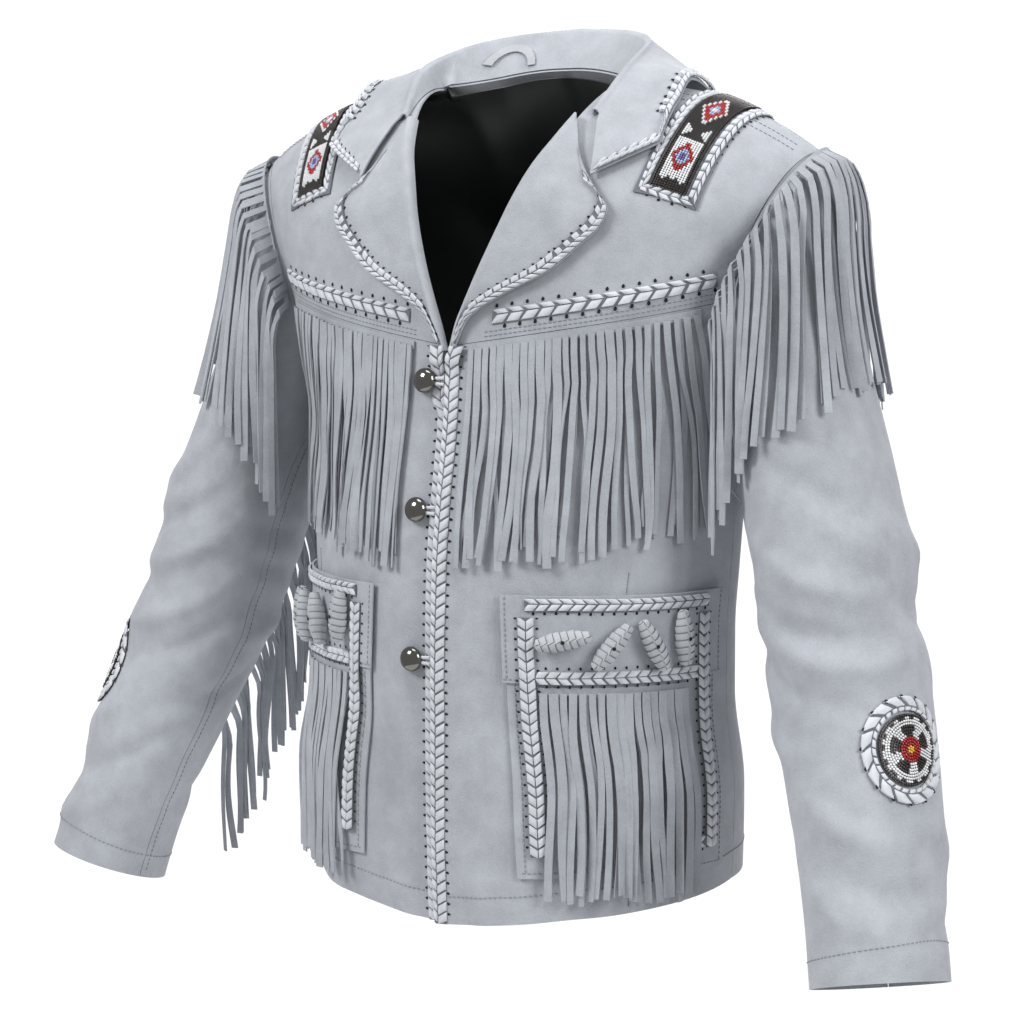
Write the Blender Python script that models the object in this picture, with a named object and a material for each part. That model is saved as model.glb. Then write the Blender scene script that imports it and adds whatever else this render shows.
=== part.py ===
"""A western jacket of pale grey suede, filled out as if it were worn.

Metres, +Z up. The front faces -Y and the wearer's left is +X. The origin is the middle of the neck, level
with the shoulders that carry the jacket. Each sewn piece is one object: a wall between two layers of points
laid out on the jacket's form. The collar, lapels, pocket lacing and fringes are single sheets that a
Solidify modifier thickens. The wearer's right side is the left one mirrored, its front edge lapped under.
"""

import math

import bmesh
import bpy
import numpy as np
from mathutils import Vector

# Leather, seams and layers
SUEDE = 0.0015
LACE = 0.0014
LINING = 0.0010
SEAM = 0.00025
REST = 0.0005
LINING_DEPTH = 0.0080
LINING_EASE = 0.0014
LINING_HEM, LINING_HEM_DEPTH = 0.022, 0.0026

# The trunk: height of each level, half width, and depth in front and behind
TRUNK_COLUMNS = ("height", "half_width", "front", "back")
TRUNK = (
    (-0.680, 0.184, 0.141, 0.128),
    (-0.600, 0.187, 0.144, 0.127),
    (-0.545, 0.188, 0.145, 0.122),
    (-0.470, 0.180, 0.145, 0.112),
    (-0.420, 0.180, 0.145, 0.110),
    (-0.370, 0.183, 0.143, 0.113),
    (-0.320, 0.186, 0.137, 0.119),
    (-0.255, 0.189, 0.126, 0.124),
    (-0.200, 0.203, 0.121, 0.125),
    (-0.150, 0.220, 0.116, 0.122),
    (-0.100, 0.243, 0.104, 0.116),
    (-0.063, 0.265, 0.088, 0.110),
    (-0.020, 0.290, 0.074, 0.104),
    (0.050, 0.310, 0.068, 0.098),
)

# The shoulder seam's height at each distance from the middle
RIDGE_COLUMNS = ("across", "height")
RIDGE = (
    (0.000, 0.045),
    (0.050, 0.028),
    (0.085, 0.006),
    (0.120, 0.003),
    (0.150, -0.002),
    (0.175, -0.010),
    (0.200, -0.021),
    (0.225, -0.034),
    (0.250, -0.050),
    (0.300, -0.085),
)
RIDGE_Y = 0.010
RIDGE_REACH = 0.100

# The opening: where the front edge turns out along the lapel's roll
NECKLINE_COLUMNS = ("height", "across")
NECKLINE = (
    (-0.700, 0.000),
    (-0.212, 0.000),
    (-0.196, 0.0042),
    (-0.155, 0.0215),
    (-0.120, 0.038),
    (-0.085, 0.055),
    (-0.063, 0.067),
    (-0.021, 0.0815),
    (0.006, 0.085),
)
OVERLAP = 0.004
OVERLAP_SINK = 0.0036
OVERLAP_LIFT = 0.0008
GORGE_Z = -0.021
NECK_HALF = 0.085
NECK_BACK_Z = 0.022

# Hem, armhole and front yoke
HEM_FRONT, HEM_SIDE, HEM_BACK = -0.645, -0.616, -0.612
ARMPIT_Z, ARMPIT_X = -0.255, 0.189
SHOULDER_X = 0.250
ARMHOLE_FLARE, ARMHOLE_DROP = 2.2, 0.037
YOKE_CENTRE_Z = -0.196

# Sleeve: level sections, from the cap down to past the cuff
SLEEVE_COLUMNS = ("height", "across", "forward", "half_width", "half_depth")
SLEEVE = (
    (-0.685, 0.362, -0.115, 0.0505, 0.0540),
    (-0.624, 0.350, -0.100, 0.0505, 0.0545),
    (-0.574, 0.338, -0.083, 0.0525, 0.0570),
    (-0.524, 0.3245, -0.066, 0.0560, 0.0600),
    (-0.470, 0.3075, -0.0465, 0.0585, 0.0650),
    (-0.420, 0.2925, -0.034, 0.0600, 0.0690),
    (-0.393, 0.2855, -0.028, 0.0600, 0.0720),
    (-0.341, 0.2735, -0.018, 0.0580, 0.0760),
    (-0.300, 0.2610, -0.010, 0.0560, 0.0780),
    (-0.255, 0.2460, -0.002, 0.0550, 0.0790),
    (-0.200, 0.2300, 0.005, 0.0570, 0.0780),
    (-0.150, 0.2190, 0.008, 0.0590, 0.0750),
    (-0.100, 0.2150, 0.010, 0.0590, 0.0680),
    (-0.075, 0.2160, 0.010, 0.0540, 0.0580),
    (-0.050, 0.2200, 0.010, 0.0380, 0.0380),
)
CUFF_Z = -0.648
CUFF_TILT_X, CUFF_TILT_Y = 0.20, -0.26
CAP_FADE = 0.035
ARM_STEPS = 10
FRONT_SEAM, BACK_SEAM = 162, 252
SLEEVE_ROWS = 13
CREASE_COLUMNS = ("height", "depth", "reach")
CREASES = (
    (-0.365, 0.0022, 0.011),
    (-0.395, 0.0028, 0.010),
    (-0.428, 0.0020, 0.012),
    (-0.560, 0.0014, 0.014),
)

# Collar: the roll and the outer edge from the gorge (0) to the middle of the back (1)
COLLAR_COLUMNS = ("along", "x", "y", "z")
ROLL = (
    (0.00, 0.0865, -0.0480, -0.0165),
    (0.25, 0.0950, -0.0080, 0.0210),
    (0.50, 0.0870, 0.0400, 0.0400),
    (0.75, 0.0520, 0.0750, 0.0520),
    (1.00, 0.0000, 0.0880, 0.0565),
)
COLLAR_EDGE = (
    (0.00, 0.1490, -0.0520, -0.0430),
    (0.22, 0.1470, 0.0000, 0.0075),
    (0.45, 0.1340, 0.0640, -0.0050),
    (0.70, 0.0870, 0.1030, -0.0200),
    (1.00, 0.0000, 0.1170, -0.0290),
)
NOTCH = (0.0975, -0.0690)
COLLAR_SHARES = (0.0, 0.22, 0.45, 0.72, 1.0)
NOTCH_SHARE = 0.45
COLLAR_CLEAR = 0.0074
NECK_SHOULDER = 0.30
COLLAR_STATIONS = 13
FOLD = 0.0034
HANGER_R, HANGER_W, HANGER_T = 0.0200, 0.0060, 0.0012
HANGER_X, HANGER_Z = -0.048, 0.024

# Lapel: the outer edge on the front, from the bottom of the opening (0) to the notch (1)
LAPEL_COLUMNS = ("along", "across", "height")
LAPEL_EDGE = (
    (0.00, 0.004, -0.206),
    (0.12, 0.018, -0.176),
    (0.28, 0.045, -0.158),
    (0.48, 0.080, -0.140),
    (0.64, 0.104, -0.119),
    (0.78, 0.117, -0.106),
    (0.88, 0.121, -0.094),
    (0.95, 0.112, -0.083),
    (1.00, 0.099, -0.0745),
)
LAPEL_BOTTOM_Z = -0.200
FOOT_Z, FOOT_FADE = -0.204, 0.028
LAPEL_TURN = 0.0041
LAPEL_ROWS = 12
LAPEL_SHARES = (0.15, 0.4, 0.7, 1.0)
LAPEL_FOOT_LIFT, LAPEL_EDGE_LIFT, LAPEL_ROLL_LIFT = 0.0031, 0.0014, 0.0030

# Lacing bands
EDGE_LACE_W = 0.0150
LACE_PROUD = 0.0012
LACE_UNDER = 0.0004
LACE_BESIDE = 0.0022
LACE_FOOT_ROWS = (-0.243, -0.2165, -0.2085)
LACE_RISE = 0.0031
LAPEL_LACE_W = 0.0125
STRIP_LACE_W = 0.0125
STRIP_IN, STRIP_OUT, STRIP_RISE = 0.037, 0.195, 0.0110

# Pockets, by angle from the middle of the front and by height
POCKET_IN, POCKET_OUT = 18.0, 82.0
POCKET_TOP, POCKET_BOTTOM = -0.382, -0.600
FLAP_BOTTOM = -0.449
POCKET_STEPS = 8
POCKET_CLEAR = 0.0013
POCKET_TAPER = 3.6
POCKET_SWING = 0.0050

# Fringe
STRAND_W, STRAND_T = 0.0048, 0.0012
STRIP_H = 0.006
CHEST_IN_LEFT, CHEST_IN_RIGHT, CHEST_OUT = 0.019, 0.031, 0.184
CHEST_STRANDS, CHEST_LENGTH = 26, 0.166
ARMHOLE_STRANDS, ARMHOLE_LENGTH = 26, 0.178
POCKET_STRANDS, POCKET_LENGTH = 15, 0.160
SLEEVE_STRANDS, SLEEVE_LENGTH = 18, 0.130
SLEEVE_FRINGE_TOP, SLEEVE_FRINGE_END = -0.285, -0.532

# Buttons, toggles and beadwork
BUTTON_HEIGHTS = (-0.2235, -0.322, -0.437)
BUTTON_X, BUTTON_R, BUTTON_H = -0.0185, 0.0098, 0.0092
BUTTON_RIM, BUTTON_LIFT = 0.0028, 0.0018
BUTTON_STEM = ((0.0055, 0.0), (0.0055, 0.0010))
LOOP_X, LOOP_W, LOOP_T, LOOP_LIFT = (-0.0102, -0.0060, -0.0018), 0.0084, 0.0008, 0.0041
TOGGLE_L, TOGGLE_R = 0.044, 0.0078
TOGGLE_SHAPE = ((0.0, -1.0), (0.60, -0.92), (1.0, -0.35), (0.92, 0.40), (0.52, 0.94), (0.0, 1.0))
TOGGLE_CLEAR = 0.0004
TOGGLE_COLUMNS = ("angle", "rise", "lean")
ROSETTE_PHI, ROSETTE_Z = 28.0, -0.479
ROSETTE_R, ROSETTE_RING_IN, ROSETTE_RING_OUT = 0.0245, 0.0262, 0.0385
ROSETTE_CLEAR, ROSETTE_ARM_R = 0.0016, 0.0615
BEAD_STRIP_W, BEAD_FRAME_W = 0.027, 0.0120
BEAD_END_Z = -0.095
BEAD_X, BEAD_LEAN, BEAD_LEAN_TURN = 0.181, 0.020, 75.0
BEAD_TOP_Z = -0.012
LEFT_TOGGLES = ((34.0, 0.002, 80.0), (46.0, -0.003, 40.0), (57.0, -0.003, -27.0), (66.0, 0.001, -4.0))
RIGHT_TOGGLES = ((29.0, 0.006, -6.0), (41.0, -0.001, 18.0), (53.0, -0.004, 12.0), (65.0, -0.006, -4.0))

MATERIALS = {
    "suede": ((0.60, 0.63, 0.67), 0.92, 0.0),
    "lace": ((0.84, 0.85, 0.86), 0.50, 0.0),
    "lining": ((0.012, 0.014, 0.018), 0.55, 0.0),
    "metal": ((0.62, 0.61, 0.58), 0.18, 1.0),
    "beads": ((0.72, 0.70, 0.70), 0.30, 0.0),
}


def clear_scene():
    for item in list(bpy.data.objects):
        bpy.data.objects.remove(item, do_unlink=True)


def material(name):
    found = bpy.data.materials.get(name)
    if found:
        return found
    colour, roughness, metallic = MATERIALS[name]
    made = bpy.data.materials.new(name)
    made.use_nodes = True
    shader = made.node_tree.nodes["Principled BSDF"]
    shader.inputs["Base Color"].default_value = (*colour, 1.0)
    shader.inputs["Roughness"].default_value = roughness
    shader.inputs["Metallic"].default_value = metallic
    return made


def read(columns, rows, name, at):
    """Reads one column of a table smoothly at any value of the first column."""
    data = np.array(rows)
    x, y = data[:, 0], data[:, columns.index(name)]
    secant = np.diff(y) / np.diff(x)
    same = secant[:-1] * secant[1:] > 0
    total = np.where(same, secant[:-1] + secant[1:], 1.0)
    middle = np.where(same, 2 * secant[:-1] * secant[1:] / total, 0.0)
    slope = np.concatenate([secant[:1], middle, secant[-1:]])
    at = np.clip(np.asarray(at, float), x[0], x[-1])
    i = np.clip(np.searchsorted(x, at) - 1, 0, len(x) - 2)
    span = x[i + 1] - x[i]
    t = (at - x[i]) / span
    start = y[i] * (1 + 2 * t) * (1 - t) ** 2 + slope[i] * span * t * (1 - t) ** 2
    end = y[i + 1] * t * t * (3 - 2 * t) - slope[i + 1] * span * t * t * (1 - t)
    return start + end


def smooth(t):
    t = np.clip(t, 0.0, 1.0)
    return t * t * (3 - 2 * t)


def unit(vectors):
    length = np.linalg.norm(vectors, axis=-1, keepdims=True)
    return vectors / np.maximum(length, 1e-9)


def point(x, y, z):
    return np.stack(np.broadcast_arrays(x, y, z), axis=-1).astype(float)


# The trunk's form

def trunk(name, z):
    return read(TRUNK_COLUMNS, TRUNK, name, z)


def ridge(x):
    return read(RIDGE_COLUMNS, RIDGE, "height", np.abs(x))


def trunk_at(x, z, side):
    """The point of the trunk's outer face at x and z, in front (side -1) or behind (side 1)."""
    share = np.clip(np.abs(x) / trunk("half_width", z), 0.0, 1.0)
    depth = trunk("front" if side < 0 else "back", z) * np.sqrt(1 - share**2)
    drop = np.clip((ridge(x) - z) / RIDGE_REACH, 0.0, 1.0)
    rounded = np.sqrt(drop * (2 - drop))
    return point(x, RIDGE_Y + (side * depth - RIDGE_Y) * rounded, z)


def trunk_round(angle, z, side=-1):
    """The trunk's outer face at an angle in degrees from the middle of the front or the back."""
    return trunk_at(trunk("half_width", z) * np.sin(np.radians(angle)), z, side)


def trunk_facing(grid, side):
    """Directions straight out of the trunk at points of its outer face. At the shoulder and side seams they
    lie in the seam's own plane, so the two pieces that meet there stay apart through their thickness."""
    x, z = grid[..., 0], grid[..., 2]
    step = 0.0002
    slope_x = (trunk_at(x + step, z, side) - trunk_at(x - step, z, side))[..., 1] / (2 * step)
    slope_z = (trunk_at(x, z + step, side) - trunk_at(x, z - step, side))[..., 1] / (2 * step)
    inside = smooth((ridge(x) - z) / 0.001) * smooth((trunk("half_width", z) - np.abs(x)) / 0.0005)
    return unit(point(-slope_x * side, side * inside, -slope_z * side))


def armhole_x(z):
    rise = np.clip((z - ARMPIT_Z) / (float(ridge(SHOULDER_X)) - ARMPIT_Z), 0.0, 1.0)
    return ARMPIT_X + (SHOULDER_X - ARMPIT_X) * rise**ARMHOLE_FLARE


def armhole_z(alpha):
    """The armhole's height at alpha degrees: 0 is its top, 180 the armpit."""
    turn = np.radians(alpha)
    rise = (1 + np.cos(turn)) / 2 - ARMHOLE_DROP * np.sin(turn) ** 2
    return ARMPIT_Z + (float(ridge(SHOULDER_X)) - ARMPIT_Z) * rise


def armhole(alpha):
    """A point of the armhole: 90 is its front and 270 its back."""
    alpha = np.asarray(alpha, float) % 360
    z = armhole_z(alpha)
    x = armhole_x(z)
    front, back = trunk_at(x, z, -1), trunk_at(x, z, 1)
    return np.where((alpha <= 180)[..., None], front, back)


def neckline_x(z, lap):
    below = smooth((FOOT_Z - z) / FOOT_FADE)
    return read(NECKLINE_COLUMNS, NECKLINE, "across", z) - lap * below


def back_neck_z(x):
    return float(ridge(NECK_HALF)) + (NECK_BACK_Z - float(ridge(NECK_HALF))) * (1 - (x / NECK_HALF) ** 2)


def overlap_shift(x, z, lap):
    """How far a front edge lies above or below the form where one front laps the other."""
    near = smooth((0.030 - x) / 0.020) * smooth((FOOT_Z - z) / FOOT_FADE)
    return near * (-OVERLAP_SINK if lap > 0 else OVERLAP_LIFT)


# Sheets

def normals(grid, inside, closed=False):
    """Unit normals of a grid of points, all on the side away from the point inside."""
    along = np.gradient(grid, axis=0)
    wrapped = np.concatenate([grid[:, -1:], grid, grid[:, :1]], axis=1) if closed else grid
    across = np.gradient(wrapped, axis=1)
    across = across[:, 1:-1] if closed else across
    found = unit(np.cross(along, across))
    facing = np.sum(found * (grid - np.asarray(inside)))
    return found if facing > 0 else -found


def lifted(grid, height, inside, closed=False):
    height = np.broadcast_to(np.asarray(height, float), grid.shape[:2])
    return grid + normals(grid, inside, closed) * height[..., None]


def trimmed(grid, top=0.0, bottom=0.0, start=0.0, end=0.0):
    """Draws the edges of a grid in: its first and last rows, and its first and last columns."""
    grid = grid.copy()
    grid[0] += unit(grid[1] - grid[0]) * bottom
    grid[-1] += unit(grid[-2] - grid[-1]) * top
    grid[:, 0] += unit(grid[:, 1] - grid[:, 0]) * start
    grid[:, -1] += unit(grid[:, -2] - grid[:, -1]) * end
    return grid


def mirrored(grid):
    return grid * np.array([-1.0, 1.0, 1.0])


def add_object(name, points, faces, colour, sharp=50):
    mesh = bpy.data.meshes.new(name)
    mesh.from_pydata([tuple(p) for p in points], [], faces)
    mesh.materials.append(material(colour))
    mesh.shade_smooth()
    mesh.set_sharp_from_angle(angle=math.radians(sharp))
    made = bpy.data.objects.new(name, mesh)
    bpy.context.scene.collection.objects.link(made)
    return made


def shell(name, outer, inner, colour, closed=False, sharp=50, split=False):
    """A closed wall between two grids of points, one for each of its faces. With split, its cells are cut into
    triangles along the same diagonal on both faces, so that a wide, thin wall never meets itself."""
    rows, columns = outer.shape[:2]
    under = rows * columns
    top = under - columns
    faces = []
    for i in range(rows - 1):
        for j in range(columns if closed else columns - 1):
            k = (j + 1) % columns
            quad = [i * columns + j, i * columns + k, (i + 1) * columns + k, (i + 1) * columns + j]
            for cell in (quad[:3], quad[:1] + quad[2:]) if split else (quad,):
                faces += [cell, [under + corner for corner in reversed(cell)]]
    for j in range(columns if closed else columns - 1):
        k = (j + 1) % columns
        faces.append([k, j, under + j, under + k])
        faces.append([top + j, top + k, under + top + k, under + top + j])
    for i in range(0 if closed else rows - 1):
        low, high = i * columns, (i + 1) * columns
        faces.append([low, high, under + high, under + low])
        low, high = low + columns - 1, high + columns - 1
        faces.append([high, low, under + low, under + high])
    points = np.concatenate([outer.reshape(-1, 3), inner.reshape(-1, 3)])
    made = add_object(name, points, faces, colour, sharp)
    face_outward(made)
    return made


def face_outward(made):
    work = bmesh.new()
    work.from_mesh(made.data)
    bmesh.ops.recalc_face_normals(work, faces=work.faces)
    if work.calc_volume(signed=True) < 0:
        bmesh.ops.reverse_faces(work, faces=work.faces)
    work.to_mesh(made.data)
    work.free()


def solidify(made, thickness):
    """Gives a sheet its thickness, on the side away from its normals."""
    wall = made.modifiers.new("thickness", "SOLIDIFY")
    wall.thickness = thickness
    wall.offset = -1.0
    wall.use_even_offset = False
    return made


def sheet(name, grid, thickness, colour, inside=None, closed=False):
    """One piece of leather or cloth, whose outer face is a grid of points."""
    inside = (0.0, 0.0, grid[..., 2].mean()) if inside is None else inside
    return shell(name, grid, lifted(grid, -thickness, inside, closed), colour, closed)


def panel(name, grid, thickness, colour, side, depth=0.0, split=False, **edges):
    """A piece of the trunk, in front (side -1) or behind (side 1), at a depth under its outer face."""
    out = trunk_facing(grid, side)
    outer = trimmed(grid - out * depth, **edges)
    inner = trimmed(grid - out * (depth + thickness), **edges)
    return shell(name, outer, inner, colour, split=split)


def both(name, grid, thickness, colour, inside=None, closed=False):
    """A piece and its mirror image."""
    sheet(f"{name}_left", grid, thickness, colour, inside, closed)
    flipped = None if inside is None else (-inside[0], *inside[1:])
    sheet(f"{name}_right", mirrored(grid), thickness, colour, flipped, closed)


# Fronts, yokes and back

ARM_ANGLES = np.arange(180, -1, -180 / ARM_STEPS)
YOKE_ROW = ARM_STEPS // 2
FRONT_STEPS = 6
FRONT_SHARES = (0.0, 0.045, 0.20, 0.40, 0.60, 0.80, 1.0)
NECK_STEPS = 4


def side_heights(hem):
    return np.linspace(hem, ARMPIT_Z, 7)


def front_rows(inner_z, outer_z, lap, rise):
    """Points of a front between its opening and its side, row by row. rise is 1 on the shoulder seam."""
    share = np.array(FRONT_SHARES)[None, :]
    inner_z, outer_z, rise = (np.asarray(v, float)[:, None] for v in (inner_z, outer_z, rise))
    inner_x = neckline_x(inner_z, lap)
    outer_x = np.where(outer_z > ARMPIT_Z + 1e-6, armhole_x(outer_z), trunk("half_width", outer_z))
    inner_angle = np.arcsin(inner_x / trunk("half_width", inner_z))
    outer_angle = np.arcsin(np.clip(outer_x / trunk("half_width", outer_z), 0, 1))
    z = inner_z + (outer_z - inner_z) * share
    x = trunk("half_width", z) * np.sin(inner_angle + (outer_angle - inner_angle) * share)
    straight = inner_x + (outer_x - inner_x) * share
    x = x + (straight - x) * rise**2
    z = z + (ridge(straight) - z) * rise**3
    grid = trunk_at(x, z, -1)
    return lifted(grid, overlap_shift(x, z, lap), (0.0, 0.0, -0.3))


def front_heights():
    """Heights of the rows of a front at its side and at its opening."""
    outer = np.concatenate([side_heights(HEM_SIDE), armhole_z(ARM_ANGLES[1 : YOKE_ROW + 1])])
    share = (outer - outer[0]) / (outer[-1] - outer[0])
    return outer, HEM_FRONT + (YOKE_CENTRE_Z - HEM_FRONT) * share


def lower_front(lap):
    outer, inner = front_heights()
    return front_rows(inner, outer, lap, np.zeros(len(outer)))


def front_yoke(lap):
    outer = armhole_z(ARM_ANGLES[YOKE_ROW:])
    rise = np.linspace(0.0, 1.0, len(outer))
    inner = YOKE_CENTRE_Z + (float(ridge(NECK_HALF)) - YOKE_CENTRE_Z) * rise
    return front_rows(inner, outer, lap, rise)


def back_half():
    """The back from its side seam and armhole to its middle: rows go up, columns go inward."""
    outer = np.concatenate([side_heights(HEM_SIDE), armhole_z(ARM_ANGLES[1:])])[:, None]
    rise = np.clip(np.arange(len(outer)) - 6, 0, None)[:, None] / ARM_STEPS
    share = np.linspace(0.0, 1.0, FRONT_STEPS + NECK_STEPS + 1)[None, :]
    level = outer + (HEM_BACK - HEM_SIDE) * share * smooth((-0.3 - outer) / 0.3)
    outer_x = np.where(outer > ARMPIT_Z + 1e-6, armhole_x(outer), trunk("half_width", outer))
    outer_angle = np.arcsin(np.clip(outer_x / trunk("half_width", outer), 0, 1))
    around = trunk("half_width", level) * np.sin(outer_angle * (1 - share))
    seam = np.linspace(SHOULDER_X, NECK_HALF, FRONT_STEPS + 1)
    neck = NECK_HALF * np.cos(np.radians(np.linspace(0, 90, NECK_STEPS + 1)))[1:]
    top_x = np.concatenate([seam, neck])[None, :]
    top_z = np.concatenate([ridge(seam), back_neck_z(neck)])[None, :]
    x = around + (top_x * outer_x / SHOULDER_X - around) * rise**2
    z = level + (top_z - float(ridge(SHOULDER_X))) * rise**1.5
    return trunk_at(x, z, 1)


def make_trunk():
    for side, lap in (("left", 0.0), ("right", OVERLAP)):
        lower, yoke = lower_front(lap), front_yoke(lap)
        if side == "right":
            lower, yoke = mirrored(lower), mirrored(yoke)
        panel(f"front_{side}", lower, SUEDE, "suede", -1, top=SEAM, end=SEAM)
        panel(f"yoke_{side}", yoke, SUEDE, "suede", -1, bottom=SEAM, top=SEAM, end=SEAM)
    half = back_half()
    whole = np.concatenate([half, mirrored(half)[:, -2::-1]], axis=1)
    panel("back", whole, SUEDE, "suede", 1, top=SEAM, start=SEAM, end=SEAM)


def raised(row, rise, side):
    """A row of points of the trunk's outer face, moved up it."""
    x, z = row[..., 0], row[..., 2]
    return trunk_at(x * trunk("half_width", z + rise) / trunk("half_width", z), z + rise, side)


def make_lining():
    """The black lining inside the neck and the hem. It takes every second point of the panels it lines, lies
    against them just above the hem, and stops short of the front edges."""
    half = back_half()[::2]
    half[0] = raised(half[0], LINING_HEM, 1)
    whole = np.concatenate([half, mirrored(half)[:, -2::-1]], axis=1)
    front = np.concatenate([lower_front(0.0)[:-1], front_yoke(0.0)])[::2, 2::2]
    front[0] = raised(front[0], LINING_HEM, -1)
    pieces = (("back", whole, 1), ("front_left", front, -1), ("front_right", mirrored(front), -1))
    for name, grid, side in pieces:
        depth = np.full((len(grid), 1, 1), LINING_DEPTH)
        depth[0] = LINING_HEM_DEPTH
        start = LINING_EASE if name == "back" else 0.0
        ease = {"top": LINING_EASE, "start": start, "end": LINING_EASE}
        panel(f"lining_{name}", grid, LINING, "lining", side, depth, True, **ease)


# Sleeves

def sleeve_at(phi, z):
    """A sleeve's outer face at phi degrees: 0 is its outer side, 90 its front."""
    turn = np.radians(phi)
    across, forward, wide, deep = (read(SLEEVE_COLUMNS, SLEEVE, name, z) for name in SLEEVE_COLUMNS[1:])
    inner = np.clip(np.cos(np.radians(phi - 175)), 0, 1) ** 2
    for height, depth, reach in CREASES:
        fold = depth * np.exp(-(((z - height - 0.012 * np.sin(turn)) / reach) ** 2)) * inner
        wide, deep = wide - fold, deep - fold
    return point(across + wide * np.cos(turn), forward - deep * np.sin(turn), z)


def sleeve_point(phi, share):
    """A sleeve's outer face, from its armhole (0) to its cuff (1)."""
    phi, share = np.broadcast_arrays(np.asarray(phi, float), np.asarray(share, float))
    seam = armhole(phi)
    top = seam[..., 2]
    turn = np.radians(phi)
    cuff = CUFF_Z + 0.052 * (CUFF_TILT_X * np.cos(turn) - CUFF_TILT_Y * np.sin(turn))
    z = top + (cuff - top) * share**1.35
    fade = np.exp(-(((top - z) / CAP_FADE) ** 2))
    return sleeve_at(phi, z) + (seam - sleeve_at(phi, top)) * fade[..., None]


def sleeve_panel(start, end):
    """The outer and inner faces of a sleeve panel between two seams, in degrees round the arm."""
    step = 180 / ARM_STEPS
    angles = np.arange(start - step, end + 1.5 * step, step)
    shares = np.linspace(0.0, 1.0, SLEEVE_ROWS)
    grid = sleeve_point(angles[None, :], shares[:, None])
    out = normals(grid, (0.27, -0.02, -0.35))[:, 1:-1]
    grid = trimmed(grid[:, 1:-1], start=SEAM, end=SEAM)
    grid[0] += unit(grid[1] - grid[0]) * 3 * SEAM + np.array([2 * SEAM, 0, 0])
    return grid, grid - out * SUEDE


def make_sleeves():
    seams = (("sleeve_upper", BACK_SEAM - 360, FRONT_SEAM), ("sleeve_under", FRONT_SEAM, BACK_SEAM))
    for name, start, end in seams:
        outer, inner = sleeve_panel(start, end)
        shell(f"{name}_left", outer, inner, "suede")
        shell(f"{name}_right", mirrored(outer), mirrored(inner), "suede")


# Collar and lapels

def edge_point(z):
    """The fronts' own edge at a height, read from their rows."""
    edge = np.concatenate([lower_front(0.0)[:-1, 0], front_yoke(0.0)[:, 0]])
    return point(*(np.interp(z, edge[:, 2], edge[:, axis]) for axis in range(3)))


def neck_point(along):
    """The trunk's neck edge from the gorge (0) over the shoulder seam to the middle of the back (1)."""
    along = np.asarray(along, float)
    behind = np.clip((along - NECK_SHOULDER) / (1 - NECK_SHOULDER), 0, 1)
    front_z = GORGE_Z + (float(ridge(NECK_HALF)) - GORGE_Z) * np.clip(along / NECK_SHOULDER, 0, 1)
    back_x = NECK_HALF * np.cos(np.radians(90 * behind))
    front = trunk_at(NECK_HALF, front_z, -1)
    back = trunk_at(back_x, back_neck_z(back_x), 1)
    return np.where((along < NECK_SHOULDER)[..., None], front, back)


def keep_clear(grid, gap):
    """Moves points that come within gap of the trunk's outer face out to it."""
    x, y, z = grid[..., 0], grid[..., 1], grid[..., 2]
    front = trunk_at(x, z, -1)[..., 1] - gap
    back = trunk_at(x, z, 1)[..., 1] + gap
    low = z < ridge(x) + gap
    y = np.where(low & (y < RIDGE_Y), np.minimum(y, front), y)
    y = np.where(low & (y >= RIDGE_Y), np.maximum(y, back), y)
    return point(x, y, z)


def collar_half():
    """The collar from the gorge to the middle of the back. Columns run from the neck seam, up the stand,
    over the roll and down the fall to the outer edge."""
    along = np.linspace(0.0, 1.0, COLLAR_STATIONS)
    roll, edge = (
        np.stack([read(COLLAR_COLUMNS, rows, axis, along) for axis in "xyz"], axis=-1)
        for rows in (ROLL, COLLAR_EDGE)
    )
    seam = neck_point(along) + np.array([0, 0, 4 * SEAM])
    out = unit((edge - seam) * np.array([1, 1, 0]))
    up = np.array([0, 0, 1.0])
    height = (roll - seam)[:, 2:3]
    columns = [seam]
    columns += [seam + (roll - out * FOLD - up * FOLD - seam) * share for share in (0.45, 1.0)]
    columns += [roll - out * 0.4 * FOLD - up * 0.5 * FOLD * (height > 0.01), roll + out * FOLD * 0.5]
    start = roll + out * FOLD * 1.3 - up * FOLD * 0.8
    for share in COLLAR_SHARES:
        bulge = out * 0.006 * math.sin(math.pi * share) + up * 0.003 * math.sin(math.pi * share)
        columns.append(start + (edge - start) * share + bulge)
    grid = np.stack(columns, axis=1)
    notch = trunk_at(NOTCH[0], NOTCH[1], -1)
    fall = np.array(COLLAR_SHARES)
    pull = np.where(fall <= NOTCH_SHARE, fall / NOTCH_SHARE, (1 - fall) / (1 - NOTCH_SHARE))
    shift = notch - (start[0] + (edge[0] - start[0]) * NOTCH_SHARE)
    fade = np.clip(1 - along / 0.22, 0, 1) ** 2
    grid[:, 5:] += fade[:, None, None] * pull[None, :, None] * shift
    grid[:, 6:] = keep_clear(grid[:, 6:], COLLAR_CLEAR)
    return grid


def collar_grid():
    half = collar_half()
    return np.concatenate([half, mirrored(half)[-2::-1]], axis=0)


def sheet_rows(name, grid, thickness, colour, outside):
    """A sheet whose normals are told by one point that its last column faces."""
    found = unit(np.cross(np.gradient(grid, axis=0), np.gradient(grid, axis=1)))
    facing = np.sum(found[:, -2] * (outside - grid[:, -2]))
    rows, columns = grid.shape[:2]
    faces = []
    for i in range(rows - 1):
        for j in range(columns - 1):
            corner = [i * columns + j, (i + 1) * columns + j, (i + 1) * columns + j + 1, i * columns + j + 1]
            faces.append(corner if facing > 0 else corner[::-1])
    return solidify(add_object(name, grid.reshape(-1, 3), faces, colour, sharp=80), thickness)


def front_edge(along):
    """The fronts' edge from the foot of the lapel (0) to its top (1)."""
    return edge_point(LAPEL_BOTTOM_Z + (GORGE_Z - 2 * SUEDE - LAPEL_BOTTOM_Z) * np.asarray(along, float))


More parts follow.
